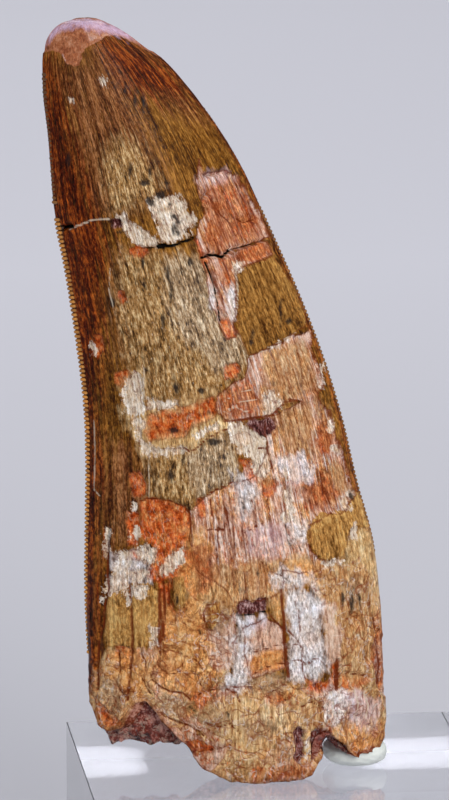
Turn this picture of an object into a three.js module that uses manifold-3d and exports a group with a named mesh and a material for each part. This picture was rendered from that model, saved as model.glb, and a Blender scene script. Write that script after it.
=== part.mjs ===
// Fossil theropod tooth standing on a clear display block, steadied by a pad of mounting putty.
// Millimetres, +Z up. The origin is the centre of the block's underside, and the tooth shows its
// better face towards -Y with its tip leaning towards -X.
import * as THREE from "three";
import { mergeVertices } from "three/addons/utils/BufferGeometryUtils.js";
import Module from "manifold-3d";

// Display block: a plain square of clear acrylic with polished, chamfered edges.
const BLOCK_SIDE = 54;
const BLOCK_HEIGHT = 25;
const BLOCK_CHAMFER = 0.6;

// Tooth: where its own origin, below the middle of the root, stands on the block.
const TOOTH_X = -6.9;
const TOOTH_Y = 0;
const REST_GAP = 0.05;

// Tooth outline in its own plane as [x, z], both edges from the tip down to where the root is broken.
const DISTAL_EDGE = [
  [-19.5, 99.7], [-22.8, 98.4], [-24.9, 94.3], [-25.0, 90.4], [-24.3, 83.9], [-23.6, 74.8],
  [-21.9, 65.5], [-19.8, 49.7], [-19.5, 41.7], [-19.6, 33.7], [-19.7, 23.0], [-19.4, 12.6],
];
const MESIAL_EDGE = [
  [-19.5, 99.7], [-14.9, 98.3], [-9.3, 94.1], [-4.9, 88.8], [0.2, 80.9], [3.9, 72.9],
  [8.5, 62.3], [11.5, 54.3], [13.9, 46.3], [15.8, 38.2], [18.0, 30.2], [19.0, 22.1], [19.8, 12.6],
];
const HALF_THICKNESS = 8.8;
const TIP_BLUNTNESS = 0.6; // power of the thickness curve: lower is blunter
const CROWN_SHARPNESS = 0.86; // power of the section: 1 is a sharp lens, 0.5 an oval
const ROOT_SHARPNESS = 0.62;

// Broken lower rim as [x, z], for the shown wall and for the far wall.
const NEAR_RIM = [
  [-19.4, 9.4], [-18.4, 6.8], [-17.2, 6.0], [-15.6, 7.0], [-13.9, 10.4], [-12.5, 10.7], [-9.8, 7.6],
  [-7.8, 5.5], [-5.6, 2.4], [-3.6, 1.1], [-1.6, 0.3], [1.0, 0.0], [7.5, 0.1], [9.2, 0.5], [10.3, 2.6],
  [11.4, 5.2], [12.9, 4.7], [14.2, 3.2], [15.6, 2.0], [18.6, 2.5], [19.8, 4.2],
];
const FAR_RIM = [
  [-19.4, 9.4], [-15.0, 7.8], [-11.0, 5.2], [-6.5, 6.3], [-1.5, 3.4], [4.0, 4.6], [8.5, 2.6],
  [13.0, 4.4], [17.0, 2.6], [19.8, 4.2],
];
const WALL = 1.7; // dentine wall seen at the break
const WALL_ROUNDING = 0.3;

// The stone that fills the pulp cavity: its height at two places along x, and its lumps.
const CORE = { x: 17, left: 4.2, right: 7.4, lump: 0.7, wave: 1.8, shoulder: 0.8, middle: 3 };

// Serrations of the two cutting edges.
const DENTICLE_PITCH = 0.575;
const DENTICLE_HEIGHT = 0.42;
const DENTICLE_DEPTH = 0.85; // thickness at the notches between them
const DENTICLE_NOTCH = 0.08;
const DENTICLE_ROOT = 0.9;
const DISTAL_SERRATED = [0.085, 0.965]; // share of the edge, from the tip
const MESIAL_SERRATED = [0.1, 0.86];

// Places where the enamel has spalled off and left a shallow ledge: outline as [x, z].
const CHIP_DEPTH = 0.45;
const CHIP_RAMP = 0.7;
const NEAR_CHIPS = [
  [[-17.3, 73.6], [-13.0, 75.9], [-8.6, 77.2], [-6.4, 73.6], [-11.6, 69.8]],
  [[-4.9, 79.8], [-1.5, 80.2], [4.2, 70.9], [1.0, 68.9], [-4.6, 68.0]],
  [[1.4, 56.0], [9.6, 57.7], [12.0, 49.0], [4.0, 47.5], [-12.8, 41.8], [-14.0, 48.0], [-6.0, 49.6]],
  [[-13.6, 36.0], [-8.4, 35.0], [-1.6, 38.6], [-1.0, 32.0], [-7.0, 27.6], [-13.2, 29.0]],
];
const FAR_CHIPS = [
  [[-12.0, 80.0], [-4.0, 77.0], [-6.0, 66.0], [-14.0, 70.0]],
  [[2.0, 52.0], [10.0, 49.0], [11.0, 38.0], [3.0, 34.0], [-3.0, 43.0]],
  [[-15.0, 36.0], [-7.0, 38.0], [-5.0, 25.0], [-13.0, 21.0]],
];

// The old break right across the crown, glued but open, and a deep pit above the root.
const BREAK_NEAR = [
  [-24.2, 72.0], [-20.0, 72.8], [-16.6, 73.5], [-12.6, 70.6], [-5.8, 71.2], [-4.6, 68.4], [-1.6, 68.6],
  [4.8, 70.7],
];
const BREAK_FAR = [[-24.2, 72.0], [-16.0, 70.4], [-9.0, 73.0], [-2.0, 69.8], [4.8, 70.7]];
const BREAK_HALF_WIDTH = 0.3;
const BREAK_OVERLAP = 0.1;
const BREAK_DEPTH = 1.1;
const PIT = { x: 1.9, z: 21.6, width: 4.2, height: 2.0, depth: 1.2 };

// Putty pad under the mesial side of the root.
const PUTTY = {
  x: 15.8, y: 0.6, lift: 0.4, radiusX: 5.1, radiusY: 4.4, height: 3.3, squeeze: 0.22, wave: 2.2,
};
const PUTTY_GAP = 0.3;

// Facets of the tooth's surface, and the size of the slivers that joining leaves and that are tidied away.
const SLIVER = 0.004;
const ROWS = 44;
const ROW_CROWDING = 1.15; // power that crowds the rows towards the tip
const SIDE_COLUMNS = 23;
const RIM_ROWS = 3;

const FOSSIL = new THREE.MeshStandardMaterial({ color: 0x8a5a2c, roughness: 0.5, metalness: 0 });
const ACRYLIC = new THREE.MeshPhysicalMaterial({
  color: 0xf2f5fa, roughness: 0.03, metalness: 0, transmission: 1, ior: 1.49,
});
const TACK = new THREE.MeshStandardMaterial({ color: 0xb9bfba, roughness: 0.7, metalness: 0 });

const wasm = await Module();
wasm.setup();

// A closed three.js geometry as a manifold-3d solid.
function solidOf(geometry) {
  const bare = geometry.index ? geometry.clone() : geometry;
  bare.deleteAttribute("normal");
  bare.deleteAttribute("uv");
  const merged = mergeVertices(bare, 1e-4);
  return new wasm.Manifold(
    new wasm.Mesh({
      numProp: 3,
      vertProperties: new Float32Array(merged.attributes.position.array),
      triVerts: new Uint32Array(merged.index.array),
    }),
  );
}

// A manifold-3d solid as a three.js geometry.
function geometryOf(solid) {
  const mesh = solid.getMesh();
  const geometry = new THREE.BufferGeometry();
  geometry.setAttribute("position", new THREE.BufferAttribute(mesh.vertProperties, 3));
  geometry.setIndex(new THREE.BufferAttribute(mesh.triVerts, 1));
  geometry.computeVertexNormals();
  return geometry;
}

function indexed(points, triangles) {
  const geometry = new THREE.BufferGeometry();
  geometry.setAttribute("position", new THREE.Float32BufferAttribute(points.flat(), 3));
  geometry.setIndex(triangles.flat());
  return geometry;
}

const edgeCurve = (edge) => new THREE.CatmullRomCurve3(edge.map(([x, z]) => new THREE.Vector3(x, 0, z)));
const distal = edgeCurve(DISTAL_EDGE);
const mesial = edgeCurve(MESIAL_EDGE);

// Height of a polyline [x, z] at x.
function heightAt(line, x) {
  const last = line.length - 1;
  if (x <= line[0][0]) return line[0][1];
  if (x >= line[last][0]) return line[last][1];
  const i = line.findIndex(([lineX]) => lineX > x);
  const [x0, z0] = line[i - 1];
  const [x1, z1] = line[i];
  return THREE.MathUtils.mapLinear(x, x0, x1, z0, z1);
}

// Distance from a point to an outline, negative inside it.
function outlineDistance(outline, x, z) {
  const point = new THREE.Vector2(x, z);
  let inside = false;
  let nearest = Infinity;
  outline.forEach(([x1, z1], i) => {
    const [x0, z0] = outline[(i + outline.length - 1) % outline.length];
    const start = new THREE.Vector2(x0, z0);
    const side = new THREE.Vector2(x1 - x0, z1 - z0);
    const share = THREE.MathUtils.clamp(point.clone().sub(start).dot(side) / side.lengthSq(), 0, 1);
    nearest = Math.min(nearest, start.addScaledVector(side, share).distanceTo(point));
    if (z0 > z !== z1 > z && x < ((x1 - x0) * (z - z0)) / (z1 - z0) + x0) inside = !inside;
  });
  return inside ? -nearest : nearest;
}

// How far the spalled enamel lowers the surface at a point.
function chipDepth(chips, x, z) {
  const nearest = Math.min(...chips.map((outline) => outlineDistance(outline, x, z)));
  return CHIP_DEPTH * (1 - THREE.MathUtils.smoothstep(nearest, -CHIP_RAMP, 0));
}

const thickness = (t) => HALF_THICKNESS * Math.pow(1 - (1 - t) ** 2, TIP_BLUNTNESS);
const sharpness = (t) =>
  THREE.MathUtils.lerp(CROWN_SHARPNESS, ROOT_SHARPNESS, THREE.MathUtils.smoothstep(t, 0.5, 1));
const bulge = (s, t) => Math.pow(4 * s * (1 - s), sharpness(t));

// Share of the length at which the line between the two edges passes through (x, z), and where along it.
function surfacePlace(x, z) {
  let [above, below] = [0.001, 1];
  let s = 0;
  for (let step = 0; step < 40; step++) {
    const t = (above + below) / 2;
    const left = distal.getPointAt(t);
    const right = mesial.getPointAt(t);
    s = (x - left.x) / (right.x - left.x);
    if (THREE.MathUtils.lerp(left.z, right.z, s) > z) above = t;
    else below = t;
  }
  return { t: below, s: THREE.MathUtils.clamp(s, 0, 1) };
}

function surfaceDepth(x, z) {
  const { t, s } = surfacePlace(x, z);
  return thickness(t) * bulge(s, t);
}

// Columns run over the shown face from the distal edge to the mesial one, then back over the far face.
function columns() {
  const shares = [];
  for (let k = 0; k <= SIDE_COLUMNS; k++) {
    const even = k / SIDE_COLUMNS;
    shares.push((even + (1 - Math.cos(Math.PI * even)) / 2) / 2);
  }
  const near = shares.map((s) => ({ s, side: -1 }));
  const far = shares.slice(1, -1).reverse().map((s) => ({ s, side: 1 }));
  return [...near, ...far];
}

const coreHeight = (x, y) =>
  THREE.MathUtils.mapLinear(x, -CORE.x, CORE.x, CORE.left, CORE.right) +
  CORE.lump * Math.sin(CORE.wave * x) * Math.cos(CORE.wave * y);

// The tooth from tip to broken root as one closed surface, grown outwards by a margin.
function toothBody(margin, chipped) {
  const ring = columns();
  const points = [[distal.getPointAt(0).x, 0, distal.getPointAt(0).z + margin]];
  const addRing = (place) => ring.forEach((column, k) => points.push(place(column, k)));

  const onSection = ({ s, side }, t) => {
    const left = distal.getPointAt(t).add(new THREE.Vector3(-margin, 0, 0));
    const right = mesial.getPointAt(t).add(new THREE.Vector3(margin, 0, 0));
    const point = left.lerp(right, s);
    const chip = chipped ? chipDepth(side < 0 ? NEAR_CHIPS : FAR_CHIPS, point.x, point.z) : 0;
    const depth = (thickness(t) + margin) * bulge(s, t);
    return [point.x, side * Math.max(depth - chip, 0.5 * depth), point.z];
  };
  for (let row = 1; row <= ROWS; row++) {
    addRing((column) => onSection(column, (row / ROWS) ** ROW_CROWDING));
  }

  const lowest = ring.map((column) => onSection(column, 1));
  const rim = lowest.map(([x, y, z], k) => {
    const line = ring[k].side < 0 ? NEAR_RIM : FAR_RIM;
    return [x, y, heightAt(line, x) - margin, z];
  });
  for (let row = 1; row <= RIM_ROWS; row++) {
    addRing((column, k) => {
      const [x, y, end, start] = rim[k];
      return [x, y, THREE.MathUtils.lerp(start, end, row / RIM_ROWS)];
    });
  }

  // The break: the wall's thickness, then the stone that fills the cavity.
  const inset = (k, amount) => {
    const [x, y] = rim[k];
    const share = 1 - amount / Math.hypot(x, y);
    return [x * share, y * share];
  };
  addRing((column, k) => {
    const [x, y] = inset(k, WALL);
    return [x, y, rim[k][2] + WALL_ROUNDING];
  });
  [WALL + CORE.shoulder, WALL + CORE.middle].forEach((amount) => {
    addRing((column, k) => {
      const [x, y] = inset(k, Math.min(amount, 0.8 * Math.hypot(rim[k][0], rim[k][1])));
      return [x, y, coreHeight(x, y) - margin];
    });
  });
  points.push([0, 0, coreHeight(0, 0) - margin]);

  const count = ring.length;
  const rings = (points.length - 2) / count;
  const at = (r, k) => 1 + r * count + (k % count);
  const triangles = [];
  for (let k = 0; k < count; k++) {
    triangles.push([0, at(0, k), at(0, k + 1)]);
    for (let r = 0; r < rings - 1; r++) {
      triangles.push([at(r, k), at(r + 1, k), at(r + 1, k + 1)]);
      triangles.push([at(r, k), at(r + 1, k + 1), at(r, k + 1)]);
    }
    triangles.push([at(rings - 1, k), points.length - 1, at(rings - 1, k + 1)]);
  }
  return solidOf(indexed(points, triangles));
}

// A row of pointed denticles along one edge, on a strip that is sunk in the tooth.
function denticles(curve, [from, to], outward) {
  const count = Math.round((curve.getLength() * (to - from)) / DENTICLE_PITCH);
  const edgePoint = (share, offset, y) => {
    const t = THREE.MathUtils.lerp(from, to, share);
    const along = curve.getTangentAt(t);
    const { x, z } = curve.getPointAt(t);
    return [x - along.z * outward * offset, y, z + along.x * outward * offset];
  };
  const points = [];
  for (let k = 0; k <= count; k++) {
    points.push(edgePoint(k / count, -DENTICLE_ROOT, 0));
    points.push(edgePoint(k / count, DENTICLE_NOTCH, -DENTICLE_DEPTH / 2));
    points.push(edgePoint(k / count, DENTICLE_NOTCH, DENTICLE_DEPTH / 2));
    points.push(edgePoint((k + 0.5) / count, DENTICLE_HEIGHT, 0));
  }
  points.pop();
  const triangles = [[0, 2, 1]];
  for (let base = 0; base < 4 * count; base += 4) {
    const [root, near, far, tip] = [base, base + 1, base + 2, base + 3];
    const [nextRoot, nextNear, nextFar] = [base + 4, base + 5, base + 6];
    triangles.push([near, far, tip], [tip, nextFar, nextNear], [near, tip, nextNear], [far, nextFar, tip]);
    triangles.push([root, near, nextNear], [root, nextNear, nextRoot]);
    triangles.push([root, nextFar, far], [root, nextRoot, nextFar]);
  }
  const last = 4 * count;
  triangles.push([last, last + 1, last + 2]);
  const facing = outward < 0 ? triangles : triangles.map(([p, q, r]) => [p, r, q]);
  return solidOf(indexed(points, facing));
}

// A V-shaped groove along a line on one face, as one wedge for each stretch of the line.
function groove(line, side) {
  const wedges = line.slice(1).map(([x1, z1], i) => {
    const [x0, z0] = line[i];
    const along = new THREE.Vector2(x1 - x0, z1 - z0).normalize();
    const across = new THREE.Vector2(-along.y, along.x).multiplyScalar(BREAK_HALF_WIDTH);
    const end = (x, z, overlap) => {
      const surface = surfaceDepth(x, z);
      const [endX, endZ] = [x + along.x * overlap, z + along.y * overlap];
      const outer = side * (surface + BREAK_DEPTH);
      return [
        [endX + across.x, outer, endZ + across.y],
        [endX - across.x, outer, endZ - across.y],
        [endX, side * (surface - BREAK_DEPTH), endZ],
      ];
    };
    const points = [...end(x0, z0, -BREAK_OVERLAP), ...end(x1, z1, BREAK_OVERLAP)];
    const triangles = [[0, 2, 1], [3, 4, 5]];
    for (let k = 0; k < 3; k++) {
      const next = (k + 1) % 3;
      triangles.push([k, next, 3 + next], [k, 3 + next, 3 + k]);
    }
    const facing = side < 0 ? triangles : triangles.map(([p, q, r]) => [p, r, q]);
    return solidOf(indexed(points, facing));
  });
  return wedges.reduce((joined, wedge) => joined.add(wedge));
}

function pit() {
  const surface = surfaceDepth(PIT.x, PIT.z);
  const hole = new THREE.SphereGeometry(1, 12, 8);
  hole.scale(PIT.width / 2, PIT.depth, PIT.height / 2);
  hole.translate(PIT.x, -surface, PIT.z);
  return solidOf(hole);
}

// The whole tooth, without the crumbs that the break cuts off its serrations.
function tooth() {
  const solid = toothBody(0, true)
    .add(denticles(distal, DISTAL_SERRATED, -1))
    .add(denticles(mesial, MESIAL_SERRATED, 1))
    .subtract(groove(BREAK_NEAR, -1).add(groove(BREAK_FAR, 1)))
    .subtract(pit())
    .simplify(SLIVER);
  const bySize = solid.decompose().sort((a, b) => b.volume() - a.volume());
  return bySize[0];
}

// A soft lump pressed flat on the block and around the root.
function putty() {
  const lump = new THREE.SphereGeometry(1, 22, 14);
  lump.rotateX(Math.PI / 2);
  const position = lump.attributes.position;
  for (let i = 0; i < position.count; i++) {
    const [x, y, z] = [position.getX(i), position.getY(i), position.getZ(i)];
    const swell = 1 + PUTTY.squeeze * Math.sin(PUTTY.wave * x + 1) * Math.cos(PUTTY.wave * y) * (1 - z * z);
    position.setXYZ(i, x * swell * PUTTY.radiusX, y * swell * PUTTY.radiusY, z * PUTTY.height);
  }
  lump.translate(PUTTY.x, PUTTY.y, PUTTY.lift);
  const below = new THREE.BoxGeometry(4 * PUTTY.radiusX, 4 * PUTTY.radiusY, 4 * PUTTY.height);
  below.translate(PUTTY.x, PUTTY.y, -2 * PUTTY.height);
  return solidOf(lump).subtract(solidOf(below)).subtract(toothBody(PUTTY_GAP, false));
}

function block() {
  const half = BLOCK_SIDE / 2 - BLOCK_CHAMFER;
  const square = new THREE.Shape([
    new THREE.Vector2(-half, -half), new THREE.Vector2(half, -half),
    new THREE.Vector2(half, half), new THREE.Vector2(-half, half),
  ]);
  const slab = new THREE.ExtrudeGeometry(square, {
    depth: BLOCK_HEIGHT - 2 * BLOCK_CHAMFER, bevelEnabled: true,
    bevelSize: BLOCK_CHAMFER, bevelThickness: BLOCK_CHAMFER, bevelSegments: 1,
  });
  slab.translate(0, 0, BLOCK_CHAMFER);
  return slab;
}

function piece(name, geometry, material) {
  const mesh = new THREE.Mesh(geometry, material);
  mesh.name = name;
  return mesh;
}

const standing = new THREE.Group();
standing.position.set(TOOTH_X, TOOTH_Y, BLOCK_HEIGHT + REST_GAP);
standing.add(piece("tooth", geometryOf(tooth()), FOSSIL));
standing.add(piece("putty_pad", geometryOf(putty()), TACK));

const display = new THREE.Group();
display.add(piece("display_block", block(), ACRYLIC));
display.add(standing);

export default display;
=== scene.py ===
"""Finished look of a serrated fossil tooth on a clear display block, built around its CAD frame."""

import math

import bmesh
import bpy
import numpy as np
from bpy.props import FloatProperty, FloatVectorProperty, IntProperty, PointerProperty
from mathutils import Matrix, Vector, noise


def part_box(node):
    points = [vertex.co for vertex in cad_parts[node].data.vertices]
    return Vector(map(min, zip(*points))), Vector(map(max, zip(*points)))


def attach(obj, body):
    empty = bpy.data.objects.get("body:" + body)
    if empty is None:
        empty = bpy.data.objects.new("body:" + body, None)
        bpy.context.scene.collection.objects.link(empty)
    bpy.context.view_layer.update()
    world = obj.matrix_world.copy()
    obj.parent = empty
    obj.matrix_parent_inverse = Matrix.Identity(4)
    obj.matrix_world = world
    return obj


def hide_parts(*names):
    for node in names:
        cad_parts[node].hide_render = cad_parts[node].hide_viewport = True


bl_info = {
    "name": "Fossil tooth on a display block",
    "version": (1, 0, 0),
    "blender": (4, 5, 0),
    "location": "3D View > Sidebar > Fossil tooth",
    "description": "Builds a serrated fossil tooth, its putty and its clear display block",
    "category": "Object",
}

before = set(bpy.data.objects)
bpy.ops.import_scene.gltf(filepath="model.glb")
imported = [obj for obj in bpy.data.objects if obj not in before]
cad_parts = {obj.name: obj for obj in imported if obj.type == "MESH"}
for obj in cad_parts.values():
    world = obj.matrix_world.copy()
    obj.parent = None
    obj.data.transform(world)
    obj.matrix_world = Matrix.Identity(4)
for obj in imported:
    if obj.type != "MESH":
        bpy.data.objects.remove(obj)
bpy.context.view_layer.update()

# Lengths of the tooth are in millimetres in its own frame, whose origin is below the middle of the root.
MM = 0.001
BLOCK_LOW, BLOCK_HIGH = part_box("display_block")
PUTTY_LOW, PUTTY_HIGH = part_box("putty_pad")
TOOTH_LEFT_OF_MIDDLE = 6.9
REST_GAP = 0.05
TOOTH_ORIGIN = np.array([-TOOTH_LEFT_OF_MIDDLE, 0.0, BLOCK_HIGH.z / MM + REST_GAP])

# The photograph's view: its frame, the size of a pixel at the tooth, and where it was taken from.
PHOTO_WIDTH, PHOTO_HEIGHT = 449, 800
PIXEL = 0.13
VIEW_AZIMUTH, VIEW_ELEVATION = math.radians(-6.1), math.radians(11.5)
VIEW_DISTANCE = 900.0
VIEW_TARGET = np.array([-8.42, 0.0, 74.32])

# Outline of the tooth as (x, z): both edges from the tip down to the root, and the broken rim of each face.
DISTAL_EDGE = [
    (-19.6, 99.7), (-21.3, 99.6), (-22.7, 99.2), (-23.9, 98.2), (-24.7, 96.8), (-25.0, 94.6), (-25.0, 90.4),
    (-24.3, 83.9), (-23.6, 74.8), (-21.9, 65.5), (-19.8, 49.7), (-19.5, 41.7), (-19.6, 33.7), (-19.7, 23.0),
    (-19.4, 12.6),
]
MESIAL_EDGE = [
    (-19.6, 99.7), (-18.1, 99.6), (-16.4, 99.1), (-14.1, 97.8), (-11.9, 96.1), (-9.6, 94.3), (-4.9, 88.8),
    (0.2, 80.9), (3.9, 72.9), (8.5, 62.3), (11.5, 54.3), (13.9, 46.3), (15.8, 38.2), (18.0, 30.2),
    (19.0, 22.1), (19.8, 12.6),
]
NEAR_RIM = [
    (-19.4, 9.4), (-18.4, 6.8), (-17.2, 6.0), (-15.6, 7.0), (-13.9, 10.4), (-12.5, 10.7), (-9.8, 7.6),
    (-7.8, 5.5), (-5.6, 2.4), (-3.6, 1.1), (-1.6, 0.3), (1.0, 0.0), (7.5, 0.1), (9.2, 0.5), (10.3, 2.6),
    (11.4, 5.2), (12.9, 4.7), (14.2, 3.2), (15.6, 2.0), (18.6, 2.5), (19.8, 4.2),
]
FAR_RIM = [
    (-19.4, 9.4), (-15.0, 7.8), (-11.0, 5.2), (-6.5, 6.3), (-1.5, 3.4), (4.0, 4.6), (8.5, 2.6),
    (13.0, 4.4), (17.0, 2.6), (19.8, 4.2),
]
# Stone of the broken base: its height at x to either side, its lumps and the width of its shoulder.
CORE = {"x": 17.0, "left": 4.4, "right": 7.4, "lump": 0.7, "shoulder": 0.8}

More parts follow.
